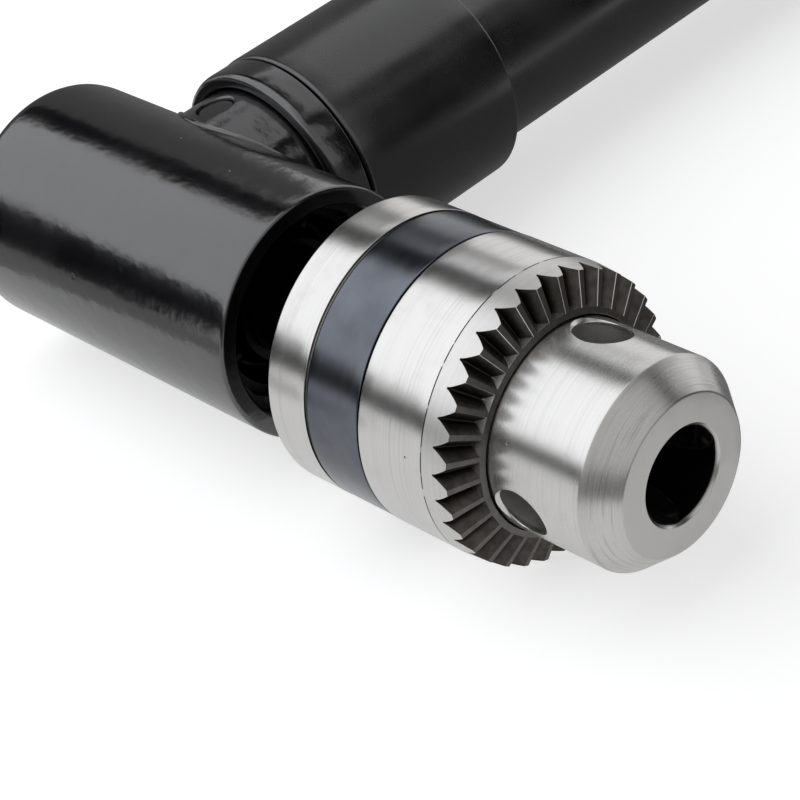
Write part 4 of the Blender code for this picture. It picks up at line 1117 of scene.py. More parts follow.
@dataclass(frozen=True)
class Head:
    """The painted housing: head tube, neck tube and the weld between them."""

    radius: float = 15.3 * MM
    rim_inner: float = 13.0 * MM
    cavity_radius: float = 12.2 * MM
    rim_edge: float = 0.5 * MM
    rim_chamfer: float = 0.3 * MM
    rear_edge: float = 1.7 * MM
    neck_radius: float = 12.9 * MM
    neck_bore: float = 11.0 * MM
    neck_shoulder: float = 0.7 * MM
    weld_radius: float = 0.55 * MM
    weld_sunk: float = 0.2 * MM
    weld_ripple: float = 0.03
    weld_ripples: int = 38
    weld_turns: int = 12
    screw_radius: float = 2.3 * MM
    screw_gap: float = 0.2 * MM
    screw_fit: float = 0.05 * MM
    screw_angle: float = math.radians(97.0)
    screw_sunk: float = 0.45 * MM
    hole_chamfer: float = 0.25 * MM
    clip_depth: float = 0.7 * MM
    past: float = 2.0 * MM
    rear_bearing_radius: float = 9.5 * MM
    longest: float = 1.6 * MM

    def weld(self) -> bpy.types.Mesh:
        """Make the weld bead: a rippled bar along the saddle between the two tubes."""
        form = bmesh.new()
        steps = 4 * self.weld_ripples
        rings = []
        for index in range(steps):
            turn = index * TURN / steps
            outwards = Vector((math.cos(turn), math.sin(turn), 0.0))
            centre = outwards * (self.neck_radius - self.weld_sunk)
            centre.z = math.sqrt(self.radius**2 - centre.y**2) - self.weld_sunk
            ripple = self.weld_ripple * math.sin(self.weld_ripples * turn)
            radius = self.weld_radius * (1.0 + ripple)
            ring = []
            for step in range(self.weld_turns):
                angle = step * TURN / self.weld_turns
                lift = Vector((0.0, 0.0, 1.0)) * math.sin(angle)
                ring.append(form.verts.new(centre + (outwards * math.cos(angle) + lift) * radius))
            rings.append(ring)
        for ring, following in zip(rings, rings[1:] + rings[:1]):
            for step in range(self.weld_turns):
                beside = (step + 1) % self.weld_turns
                form.faces.new((ring[step], ring[beside], following[beside], following[step]))
        mesh = finished_mesh("weld_bead", form)
        mesh.transform(ARM_TO_OUTPUT)
        return mesh

    def clip_groove(self, bore: float, node: str, axis: Axis) -> Profile:
        """Return the groove that a ring is sprung into, from its front side to its rear side."""
        start, end = LAYOUT.span(node, axis)
        start, end = start - self.screw_gap, end + self.screw_gap
        floor = bore + self.clip_depth
        return [(end, bore), (end, floor), (start, floor), (start, bore)]

    def cavity(self, mouth: float) -> Profile:
        """Return the inside of the head tube, from past its mouth to its rear seat."""
        seat = LAYOUT.span("front_bearing_outer", Axis.OUTPUT)[0] - self.screw_gap
        rear_back, rear_front = LAYOUT.span("rear_bearing_outer", Axis.OUTPUT)
        rear_back -= self.rim_chamfer
        flare = self.rim_inner + self.past + self.rim_chamfer
        return [
            (mouth + self.past, 0.0),
            (mouth + self.past, flare),
            (mouth - self.rim_chamfer, self.rim_inner),
            *self.clip_groove(self.rim_inner, "front_circlip", Axis.OUTPUT),
            (seat, self.rim_inner),
            (seat, self.cavity_radius),
            (rear_front, self.cavity_radius),
            (rear_front, self.rear_bearing_radius),
            (rear_back, self.rear_bearing_radius),
            (rear_back, 0.0),
        ]

    def screw_hole(self) -> Profile:
        """Return the cutter of the screw's hole, along its own axis."""
        fit = self.screw_radius + self.screw_fit
        floor = self.neck_radius / 2.0
        above = self.neck_radius + self.past
        return [
            (above, 0.0),
            (above, fit + self.past + self.hole_chamfer),
            (self.neck_radius - self.hole_chamfer, fit, self.hole_chamfer),
            (floor, fit),
            (floor, 0.0),
        ]

    def build(self) -> None:
        """Make the housing and the set screw in its neck."""
        screw_along = LAYOUT.middle("neck_set_screw", Axis.ARM)
        place = radial(Axis.ARM.angle(self.screw_angle), screw_along)
        self.build_shell(place)
        self.build_screw(place)

    def build_shell(self, screw_place: Matrix) -> None:
        """Weld the two tubes together, bore them and make the screw's hole at its place."""
        rear, mouth = LAYOUT.span("head_housing", Axis.OUTPUT)
        neck_end = LAYOUT.span("head_housing", Axis.ARM)[1]
        neck_seat = LAYOUT.span("neck_bearing_front_outer", Axis.ARM)[0] - self.screw_gap
        outside = [
            (mouth, 0.0),
            (mouth, self.radius, self.rim_edge),
            (rear, self.radius, self.rear_edge),
            (rear, 0.0),
        ]
        neck = [
            (neck_end, 0.0),
            (neck_end, self.neck_radius, self.rim_chamfer),
            (0.0, self.neck_radius),
            (0.0, 0.0),
        ]
        bore = [
            (neck_end + self.past, 0.0),
            (neck_end + self.past, self.neck_bore),
            *self.clip_groove(self.neck_bore, "neck_circlip", Axis.ARM),
            (neck_seat, self.neck_bore),
            (neck_seat, self.neck_bore - self.neck_shoulder),
            (0.0, self.neck_bore - self.neck_shoulder),
            (0.0, 0.0),
        ]
        neck_tube = turned("neck", neck)
        neck_tube.transform(ARM_TO_OUTPUT)
        neck_bore = turned("neck_bore", bore)
        neck_bore.transform(ARM_TO_OUTPUT)
        hole = turned("screw_hole", self.screw_hole(), Steps.SCREW)
        hole.transform(ARM_TO_OUTPUT @ screw_place)
        tools = [
            (neck_tube, Cut.ADD),
            (self.weld(), Cut.ADD),
            (turned("head_cavity", self.cavity(mouth)), Cut.AWAY),
            (neck_bore, Cut.AWAY),
            (hole, Cut.AWAY),
        ]
        mesh = carved(turned("head_tube", outside, Steps.SHELL, self.longest), tools)
        dressed("head_shell", mesh, Axis.OUTPUT, Body.HOUSING, PAINT, ["head_housing"])

    def build_screw(self, place: Matrix) -> None:
        """Make the set screw at its place, painted over with the neck."""
        top = self.neck_radius - self.screw_sunk
        profile = [
            (top, 0.0),
            (top, self.screw_radius, self.rim_chamfer),
            (self.neck_bore, self.screw_radius),
            (self.neck_bore, 0.0),
        ]
        screw = turned("neck_screw", profile, Steps.SCREW)
        screw.transform(place)
        dressed("neck_screw", screw, Axis.ARM, Body.HOUSING, PAINTED_OVER, ["neck_set_screw"])


@dataclass(frozen=True)
class Handle:
    """The collar, the stepped handle and the bush in its end."""

    collar_inner: float = 13.1 * MM
    collar_outer: float = 14.95 * MM
    collar_edge: float = 1.1 * MM
    collar_lip: float = 0.5 * MM
    collar_rear_edge: float = 0.25 * MM
    barrel_radius: float = 15.1 * MM
    barrel_front_edge: float = 0.6 * MM
    barrel_rear_edge: float = 0.45 * MM
    barrel_length: float = 25.4 * MM
    grip_radius: float = 12.6 * MM
    grip_bore: float = 9.0 * MM
    grip_end_edge: float = 1.3 * MM
    step_fillet: float = 0.35 * MM
    run: float = 0.3 * MM
    seat_edge: float = 0.2 * MM
    bore_edge: float = 0.4 * MM
    longest: float = 3.0 * MM
    bush_bore: float = 4.1 * MM
    bush_outer: float = 8.8 * MM
    bush_edge: float = 0.3 * MM

    def build(self) -> None:
        """Make the collar, the handle and the bush."""
        start, end = LAYOUT.span("collar_ring", Axis.ARM)
        profile = [
            (end, self.collar_outer, self.collar_rear_edge),
            (start, self.collar_outer, self.collar_edge),
            (start, self.collar_inner, self.collar_lip),
            (end, self.collar_inner, self.collar_rear_edge),
        ]
        collar = turned("collar", profile, Steps.SHELL)
        dressed("collar", collar, Axis.ARM, Body.HOUSING, PAINT, ["collar_ring"])
        start, end = LAYOUT.span("handle", Axis.ARM)
        seat_end = LAYOUT.span("head_housing", Axis.ARM)[1] + self.run
        step = start + self.barrel_length
        profile = [
            (end, self.grip_radius, self.grip_end_edge),
            (step, self.grip_radius, self.step_fillet),
            (step, self.barrel_radius, self.barrel_rear_edge),
            (start, self.barrel_radius, self.barrel_front_edge),
            (start, self.collar_inner, self.seat_edge),
            (seat_end, self.collar_inner),
            (seat_end, self.grip_bore),
            (end, self.grip_bore, self.bore_edge),
        ]
        mesh = turned("handle_sleeve", profile, Steps.SHELL, self.longest)
        dressed("handle_sleeve", mesh, Axis.ARM, Body.HOUSING, GRIP, ["handle"])
        start, end = LAYOUT.span("handle_end_bush", Axis.ARM)
        profile = ring_profile(start, end, self.bush_bore, self.bush_outer, self.bush_edge)
        bush = turned("end_bush", profile)
        dressed("end_bush", bush, Axis.ARM, Body.HOUSING, BRONZE, ["handle_end_bush"])


@dataclass(frozen=True)
class Shaft:
    """The drive shaft, with its clip groove and the three flats that a drill grips."""

    radius: float = 3.8 * MM
    groove_radius: float = 3.1 * MM
    clip_fit: float = 0.2 * MM
    tip_edge: float = 0.8 * MM
    flats: int = 3
    flat_length: float = 26.0 * MM
    flat_depth: float = 0.45 * MM
    flat_run_out: float = 0.5 * MM
    run_out_steps: int = 3
    pin_hole: float = 1.2 * MM

    def build(self) -> None:
        """Turn the shaft, cut its flats and drill it for its pin."""
        start, end = LAYOUT.span("drive_shaft", Axis.ARM)
        clip_start, clip_end = LAYOUT.span("shaft_circlip", Axis.ARM)
        profile = [
            (end, 0.0),
            (end, self.radius, self.tip_edge),
            (clip_end + self.clip_fit, self.radius),
            (clip_end + self.clip_fit, self.groove_radius),
            (clip_start - self.clip_fit, self.groove_radius),
            (clip_start - self.clip_fit, self.radius),
            (start, self.radius),
            (start, 0.0),
        ]
        blank = turned("shank_shaft", profile, Steps.RING)
        form = bmesh.new()
        depth = 2.0 * self.radius
        place = Matrix.Translation((self.radius - self.flat_depth + depth / 2.0, 0.0, end))
        size = Matrix.Diagonal((depth, 4.0 * self.radius, 2.0 * self.flat_length, 1.0))
        bmesh.ops.create_cube(form, size=1.0, matrix=place @ size)
        crosswise = []
        for edge in form.edges:
            start_point, end_point = (corner.co for corner in edge.verts)
            if abs(start_point.y - end_point.y) > self.radius:
                crosswise.append(edge)
        bmesh.ops.bevel(
            form,
            geom=crosswise,
            offset=self.flat_run_out,
            segments=self.run_out_steps,
            affect="EDGES",
        )
        flat = finished_mesh("shank_flat", form)
        material = WARDROBE.material(PLAIN_ALONG_ARM)
        mesh = RING_OF_CUTS.made(blank, flat, self.flats, 0.0, material)
        pin = radial(0.0, LAYOUT.middle("pinion_pin", Axis.ARM))
        mesh = drilled(mesh, self.pin_hole, depth, pin)
        dressed("shank_shaft", mesh, Axis.ARM, Body.DRIVE, PLAIN_ALONG_ARM, ["drive_shaft"])


@dataclass(frozen=True)
class Spindle:
    """The output spindle that shows between the head and the chuck."""

    fit: float = 0.2 * MM
    run: float = 0.3 * MM
    collar_radius: float = 6.5 * MM
    bearing_radius: float = 4.8 * MM
    seat_radius: float = 4.2 * MM
    rear_radius: float = 2.8 * MM
    nose_radius: float = 4.56 * MM
    nose_edge: float = 0.5 * MM
    end_edge: float = 0.3 * MM
    seat_fit: float = 0.1 * MM
    pin_hole: float = 1.2 * MM

    def build(self) -> None:
        """Turn the spindle and drill it for its pin."""
        rear, nose = LAYOUT.span("output_spindle", Axis.OUTPUT)
        chuck_rear = LAYOUT.span("chuck_body", Axis.OUTPUT)[0]
        bearing_start, bearing_end = LAYOUT.span("front_bearing_inner", Axis.OUTPUT)
        rear_front = LAYOUT.span("rear_bearing_inner", Axis.OUTPUT)[1]
        profile = [
            (nose, 0.0),
            (nose, self.nose_radius, self.nose_edge),
            (chuck_rear - self.run, self.nose_radius),
            (chuck_rear - self.run, self.collar_radius, self.end_edge),
            (bearing_end + self.fit, self.collar_radius, self.nose_edge),
            (bearing_end + self.fit, self.bearing_radius),
            (bearing_start - self.seat_fit, self.bearing_radius),
            (bearing_start - self.seat_fit, self.seat_radius),
            (rear_front + self.fit, self.seat_radius),
            (rear_front + self.fit, self.rear_radius),
            (rear, self.rear_radius, self.end_edge),
            (rear, 0.0),
        ]
        pin = radial(math.pi / 2.0, LAYOUT.middle("gear_pin", Axis.OUTPUT))
        blank = turned("spindle", profile, Steps.CORE)
        mesh = drilled(blank, self.pin_hole, 2.0 * self.seat_radius, pin)
        dressed("spindle", mesh, Axis.OUTPUT, Body.OUTPUT, SHADED_GREASED_SPINDLE, ["output_spindle"])


@dataclass(frozen=True)
class Chuck:
    """The key chuck: turned body, toothed sleeve and three jaws.

    Places along it are from its rear face.
    """

    run: float = 0.3 * MM
    radius: float = 17.0 * MM
    rear_chamfer: float = 0.8 * MM
    ring_length: float = 6.7 * MM
    band_end: float = 14.93 * MM
    band_drop: float = 0.05 * MM
    groove_width: float = 0.36 * MM
    groove_depth: float = 0.4 * MM
    groove_edge: float = 0.08 * MM
    edge: float = 0.15 * MM
    past: float = 2.0 * MM
    body_longest: float = 1.4 * MM
    sleeve_longest: float = 1.6 * MM
    sleeve_bore: float = 14.9 * MM
    land_radius: float = 14.4 * MM
    nut_start: float = 16.6 * MM
    nut_end: float = 21.9 * MM
    nut_floor: float = 10.2 * MM
    shoulder: float = 23.9 * MM
    nose_radius: float = 12.0 * MM
    cone_start: float = 41.9 * MM
    nose_face: float = 45.4 * MM
    face_radius: float = 9.1 * MM
    throat_radius: float = 5.45 * MM
    throat_floor: float = 18.5 * MM
    mouth_chamfer: float = 0.35 * MM
    draw_hole: float = 2.8 * MM
    thread_radius: float = 4.76 * MM
    thread_end: float = 13.9 * MM
    key_along: float = 33.0 * MM
    key_radius: float = 3.1 * MM
    key_chamfer: float = 0.4 * MM
    key_lip: float = 0.1 * MM
    key_above: float = 1.0 * MM
    key_floor: float = 6.8 * MM
    key_point: float = 0.8 * MM
    key_angle: float = math.radians(72.0)
    teeth: int = 33
    facets_per_tooth: int = 6
    tip_radius: float = 16.72 * MM
    face_angle: float = math.radians(73.35)
    root_angle: float = math.radians(67.5)
    land_share: float = 0.21
    flank_bulge: float = 0.1 * MM
    flank_steps: int = 6
    heel_length: float = 3.4 * MM
    toe_lip: float = 0.7 * MM
    toe_edge: float = 0.12 * MM
    root_share: float = 0.05
    root_lift: float = 1.4
    root_width: float = 0.11 * MM
    past_heel: float = 1.12
    past_tip: float = 1.15
    skin: float = 0.02 * MM
    level: float = 0.8
    steep: float = 0.25
    land_dark: float = 0.9
    first_groove: float = math.radians(126.03)
    score: float = 24.57 * MM
    score_drop: float = 0.1 * MM
    sleeve_nose: float = 12.22 * MM
    jaw_radius: float = 3.0 * MM
    jaw_length: float = 26.0 * MM
    jaw_tilt: float = math.radians(15.0)
    jaw_open: float = 5.4 * MM
    jaw_tip: float = 32.8 * MM
    jaw_edge: float = 0.12 * MM
    jaw_edge_steps: int = 2
    jaw_edge_angle: float = math.radians(30.0)
    jaws: int = 3

    @property
    def rear(self) -> float:
        """Return the place of the chuck's rear face, from the crossing point."""
        return LAYOUT.span("chuck_body", Axis.OUTPUT)[0]

    @property
    def apex(self) -> float:
        """Return the place of the point to which the ring's teeth are drawn in."""
        return self.rear + self.key_along

    @property
    def slope(self) -> float:
        """Return how far the ring's face falls back over its radius."""
        return 1.0 / math.tan(self.face_angle)

    @property
    def jaw_angle(self) -> float:
        """Return the angle of the first jaw, midway between two key holes."""
        return self.key_angle + math.pi / self.jaws

    @property
    def steel(self) -> ChuckSteel:
        """Return the chuck's finish, with its band and throat where they lie on it."""
        return ChuckSteel(
            slot=Slot.CHUCK,
            axis=Axis.OUTPUT,
            colour=(0.615, 0.606, 0.592),
            stain=(0.53, 0.515, 0.495),
            roughness=0.225,
            chamfer_end=self.rear + self.rear_chamfer,
            band_start=self.rear + self.ring_length + self.groove_width / 2.0,
            band_end=self.rear + self.band_end,
            score=self.rear + self.score,
            score_radius=self.tip_radius - self.score_drop,
            tooth_tips=self.apex - self.tip_radius * self.slope,
            nose_radius=self.nose_radius,
            key_along=self.apex,
            key_radius=self.key_radius + self.key_chamfer,
            throat_radius=self.throat_radius,
            face_radius=self.face_radius,
            nose_face=self.rear + self.nose_face,
            cone_start=self.rear + self.cone_start,
        )

    def from_rear(self, profile: Profile) -> Profile:
        """Move a profile that is laid out from the chuck's rear face to its place."""
        return [(self.rear + along, *rest) for along, *rest in profile]

    def outside(self) -> Profile:
        """Return the outside of the body, from the nose back to the rear face."""
        start = self.ring_length - self.groove_width / 2.0
        end = self.ring_length + self.groove_width / 2.0
        band = self.radius - self.band_drop
        return [
            (self.nose_face, 0.0),
            (self.nose_face, self.face_radius, self.edge),
            (self.cone_start, self.nose_radius, self.edge),
            (self.shoulder, self.nose_radius),
            (self.shoulder, self.land_radius),
            (self.nut_end, self.land_radius),
            (self.nut_end, self.nut_floor),
            (self.nut_start, self.nut_floor),
            (self.nut_start, self.land_radius),
            (self.band_end - self.run / 2.0, self.land_radius),
            (self.band_end - self.run / 2.0, band, self.edge),
            (end, band, self.groove_edge),
            (end, self.radius - self.groove_depth),
            (start, self.radius - self.groove_depth),
            (start, self.radius, self.groove_edge),
            (self.rear_chamfer, self.radius, self.edge),
            (0.0, self.radius - self.rear_chamfer, self.edge),
            (0.0, 0.0),
        ]

    def bores(self) -> Profile:
        """Return the throat, the draw hole and the thread bore, from nose to rear."""
        mouth = self.throat_radius + self.mouth_chamfer + self.past
        return [
            (self.nose_face + self.past, 0.0),
            (self.nose_face + self.past, mouth),
            (self.nose_face - self.mouth_chamfer, self.throat_radius),
            (self.throat_floor, self.throat_radius),
            (self.throat_floor, self.draw_hole),
            (self.thread_end, self.draw_hole),
            (self.thread_end, self.thread_radius),
            (-self.past, self.thread_radius),
            (-self.past, 0.0),
        ]

    def key_hole(self) -> bpy.types.Mesh:
        """Make the cutter of one key hole, with its chamfer, pointing along local X."""
        lip = self.nose_radius - self.key_chamfer
        above = self.nose_radius + self.key_above
        profile = [
            (above, 0.0),
            (above, self.key_radius + above - lip),
            (lip, self.key_radius, self.key_lip),
            (self.key_floor, self.key_radius),
            (self.key_floor - self.key_point, 0.0),
        ]
        mesh = turned("key_hole", profile, Steps.KEY_HOLE)
        mesh.transform(radial(0.0, self.apex))
        return mesh

    def jaw_place(self) -> Matrix:
        """Return a jaw's frame: its origin at the tip, Z along its slide, X facing outwards."""
        tip = Matrix.Translation((self.jaw_open, 0.0, self.rear + self.jaw_tip))
        return tip @ Matrix.Rotation(-self.jaw_tilt, 4, "Y")

    def build_body(self) -> None:
        """Make the body with its bores, jaw holes and key holes."""
        material = WARDROBE.material(self.steel)
        outside = self.from_rear(self.outside())
        mesh = turned("chuck_shell", outside, Steps.SHELL, self.body_longest)
        bores = turned("bores", self.from_rear(self.bores()), Steps.CORE)
        mesh = carved(mesh, [(bores, Cut.AWAY)])
        radius, behind = self.jaw_radius + self.run, -self.jaw_length - self.run
        ahead = self.nose_face - self.jaw_tip + self.jaw_radius
        hole = rod("jaw_hole", radius, behind, ahead, Steps.SCREW, self.jaw_place())
        mesh = RING_OF_CUTS.made(mesh, hole, self.jaws, self.jaw_angle, material)
        mesh = RING_OF_CUTS.made(mesh, self.key_hole(), self.jaws, self.key_angle, material)
        dressed("chuck_shell", mesh, Axis.OUTPUT, Body.OUTPUT, self.steel, ["chuck_body"])

    def tooth_space(self) -> bpy.types.Mesh:
        """Make the cutter of one groove of the ring: a section drawn in towards the apex."""
        tip = Vector((self.tip_radius, 0.0, -self.tip_radius / math.tan(self.face_angle)))
        root = Vector((self.tip_radius, 0.0, -self.tip_radius / math.tan(self.root_angle)))
        half_width = (1.0 - self.land_share) * math.pi * self.tip_radius / self.teeth
        foot = root.lerp(tip, self.root_lift * self.root_share)
        flank = [foot + Vector((0.0, self.root_width, 0.0))]
        for step in range(1, self.flank_steps + 1):
            share = self.past_tip * step / self.flank_steps
            bulge = 4.0 * self.flank_bulge * share * (1.0 - share)
            flank.append(root.lerp(tip, share) + Vector((0.0, half_width * share - bulge, 0.0)))
        floor = root.lerp(tip, self.root_share)
        mirror = Matrix.Diagonal((1.0, -1.0, 1.0))
        section = [floor, *flank, *(mirror @ point for point in reversed(flank))]
        near = (self.sleeve_nose + self.toe_lip) / self.tip_radius
        form = bmesh.new()
        face = form.faces.new([form.verts.new(point * self.past_heel) for point in section])
        grown = bmesh.ops.extrude_face_region(form, geom=[face])
        ends = [item for item in grown["geom"] if isinstance(item, bmesh.types.BMVert)]
        bmesh.ops.scale(form, vec=(near / self.past_heel,) * 3, verts=ends)
        mesh = finished_mesh("tooth_space", form)
        mesh.transform(Matrix.Translation((0.0, 0.0, self.apex)))
        return mesh

    def mark_grooves(self, mesh: bpy.types.Mesh) -> None:
        """Mark the lands below 1, and the grooves from 1 at their edge to 2 at their root."""
        apex, slope = self.apex, self.slope
        root_slope = 1.0 / math.tan(self.root_angle)
        heel = apex - self.tip_radius * slope - self.heel_length
        groove = mesh.attributes.new("groove", "FLOAT", "CORNER")
        for polygon in mesh.polygons:
            centre, normal = polygon.center, polygon.normal
            radius = math.hypot(centre.x, centre.y)
            radial_normal = (normal.x * centre.x + normal.y * centre.y) / radius
            depth = apex - radius * slope - centre.z
            sideways = math.sqrt(max(0.0, 1.0 - radial_normal**2 - normal.z**2))
            land = depth < self.skin and normal.z > self.level and radius < self.tip_radius
            flank = depth >= self.skin and centre.z > heel and sideways > self.steep
            for corner in polygon.loop_indices:
                value = self.land_dark if land else 0.0
                if flank:
                    point = mesh.vertices[mesh.loops[corner].vertex_index].co
                    reach = math.hypot(point.x, point.y)
                    deepest = reach * (root_slope - slope)
                    # A flank's depth, from 1 at its edge to 2 at its root, drives the painted
                    # shade at the root.
                    value = 1.0 + max(0.0, apex - reach * slope - point.z) / deepest
                groove.data[corner].value = value

    def build_sleeve(self) -> None:
        """Make the rotating sleeve and cut its ring of bevel teeth."""
        tip_along = self.apex - self.tip_radius * self.slope
        rear = self.rear + self.band_end + self.run / 2.0
        shoulder = self.rear + self.shoulder + self.run
        profile = [
            (self.apex - self.sleeve_nose * self.slope, self.sleeve_nose, self.toe_edge),
            (tip_along, self.tip_radius),
            (tip_along - self.heel_length, self.radius),
            (rear, self.radius, self.edge),
            (rear, self.sleeve_bore),
            (shoulder, self.sleeve_bore),
            (shoulder, self.sleeve_nose),
        ]
        facets = self.facets_per_tooth * self.teeth
        blank = turned("toothed_sleeve", profile, facets, self.sleeve_longest)
        material = WARDROBE.material(self.steel)
        space = self.tooth_space()
        mesh = RING_OF_CUTS.made(blank, space, self.teeth, self.first_groove, material)
        self.mark_grooves(mesh)
        dressed("toothed_sleeve", mesh, Axis.OUTPUT, Body.SLEEVE, self.steel, ["chuck_sleeve"])

    def jaw(self, name: str) -> bpy.types.Mesh:
        """Make a jaw along its own slide: a rod whose tip is planed to a wedge."""
        form = bmesh.new()
        bmesh.ops.create_cone(
            form,
            cap_ends=True,
            segments=Steps.JAW,
            radius1=self.jaw_radius,
            radius2=self.jaw_radius,
            depth=self.jaw_length + 2.0 * self.jaw_radius,
            matrix=Matrix.Translation((0.0, 0.0, self.jaw_radius - self.jaw_length / 2.0)),
        )
        back_to_axis = Matrix.Rotation(self.jaw_tilt, 3, "Y")
        wedge = math.pi / self.jaws
        for normal in (
            Vector((-math.sin(wedge), math.cos(wedge), 0.0)),
            Vector((-math.sin(wedge), -math.cos(wedge), 0.0)),
            Vector((0.0, 0.0, 1.0)),
        ):
            found = bmesh.ops.bisect_plane(
                form,
                geom=[*form.verts, *form.edges, *form.faces],
                plane_co=(0.0, 0.0, 0.0),
                plane_no=back_to_axis @ normal,
                clear_outer=True,
            )
            edges = [item for item in found["geom_cut"] if isinstance(item, bmesh.types.BMEdge)]
            bmesh.ops.edgeloop_fill(form, edges=edges)
        guide = shown(name, finished_mesh(name, form))
        bevel = guide.modifiers.new("edge", "BEVEL")
        bevel.width = self.jaw_edge
        bevel.segments = self.jaw_edge_steps
        bevel.limit_method = "ANGLE"
        bevel.angle_limit = self.jaw_edge_angle
        return baked(guide)

    def build_jaws(self) -> None:
        """Make the jaws, each on the body that slides it."""
        for index in range(self.jaws):
            name = f"jaw_{index + 1}"
            mesh = self.jaw(name)
            angle = self.jaw_angle + index * TURN / self.jaws
            mesh.transform(Matrix.Rotation(angle, 4, "Z") @ self.jaw_place())
            dressed(name + "_rod", mesh, Axis.OUTPUT, Body(name), JAW_STEEL, ["chuck_" + name])

    def build(self) -> None:
        """Make the whole chuck."""
        self.build_body()
        self.build_sleeve()
        self.build_jaws()


@dataclass(frozen=True)
class Gearing:
    """The nodes of the frame that keep their own shape inside the tool, and their finishes."""

    finishes: tuple[tuple[str, Finish], ...] = (
        ("output_bevel_gear", PLAIN_ALONG_OUTPUT),
        ("gear_pin", PLAIN_ALONG_OUTPUT),
        ("drive_pinion", PLAIN_ALONG_ARM),
        ("pinion_pin", PLAIN_ALONG_ARM),
        ("neck_bearing_spacer", PLAIN_ALONG_ARM),
        ("chuck_nut_upper", PLAIN_ALONG_OUTPUT),
        ("chuck_nut_lower", PLAIN_ALONG_OUTPUT),
        ("neck_circlip", OXIDE),
        ("shaft_circlip", OXIDE),
        ("front_circlip", OXIDE),
    )

    def build(self) -> None:
        """Give each kept node its material."""
        for name, finish in self.finishes:
            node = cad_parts[name]
            node.data.materials.clear()
            node.data.materials.append(WARDROBE.material(finish))
            log.info("%s keeps its own shape", name)


BLACK: Colour = (0.0, 0.0, 0.0)
WHITE: Colour = (1.0, 1.0, 1.0)
ALONG_X: Triple = (1.0, 0.0, 0.0)
ALONG_Y: Triple = (0.0, 1.0, 0.0)
UP: Triple = (0.0, 0.0, 1.0)
FRONT_SPIN = math.radians(47.3)
CAMERA_SPIN = math.radians(-51.7)


@dataclass(frozen=True)
class Softbox:
    """A flat lamp that faces the object."""

    name: str
    centre: Triple
    size: tuple[float, float]
    brightness: float
    facing: Triple = UP
    tint: Colour = (0.955, 0.97, 1.0)
    back_gap: float = 0.02

    def build(self) -> None:
        """Put up the lamp."""
        lamp = bpy.data.lights.new(self.name, "AREA")
        lamp.color = self.tint
        lamp.shape = "RECTANGLE"
        lamp.size, lamp.size_y = self.size
        lamp.energy = self.brightness * math.pi * self.size[0] * self.size[1]
        holder = bpy.data.objects.new(self.name, lamp)
        holder.location = self.centre
        holder.rotation_euler = Vector(self.facing).to_track_quat("Z", "Y").to_euler()
        holder.visible_camera = False
        bpy.context.scene.collection.objects.link(holder)

    def backing(self) -> "Flag":
        """Return the black back of the lamp, without which the white world shows through it."""
        centre = Vector(self.centre) + self.back_gap * Vector(self.facing)
        return Flag(self.name + "_back", tuple(centre), self.size, self.facing)


@dataclass(frozen=True)
class Flag:
    """A card that only shows in reflections, black or of a darker tone than the white world."""

    name: str
    centre: Triple
    size: tuple[float, float]
    facing: Triple = UP
    tone: float = 0.0
    spin: float = 0.0

    def build(self) -> None:
        """Put up the card."""
        turn = Vector(self.facing).to_track_quat("Z", "Y").to_matrix().to_4x4()
        mesh = sheet(self.name, self.size, turn @ Matrix.Rotation(self.spin, 4, "Z"))
        mesh.transform(Matrix.Translation(self.centre))
        shader = Shader(self.name)
        shader.finish(
            Base_Color=BLACK,
            Specular_IOR_Level=0.0,
            Emission_Color=(self.tone,) * 3,
            Emission_Strength=1.0,
        )
        mesh.materials.append(shader.material)
        card = shown(self.name, mesh)
        card.visible_camera = False
        card.visible_diffuse = False
        card.visible_shadow = False
        card.visible_transmission = False


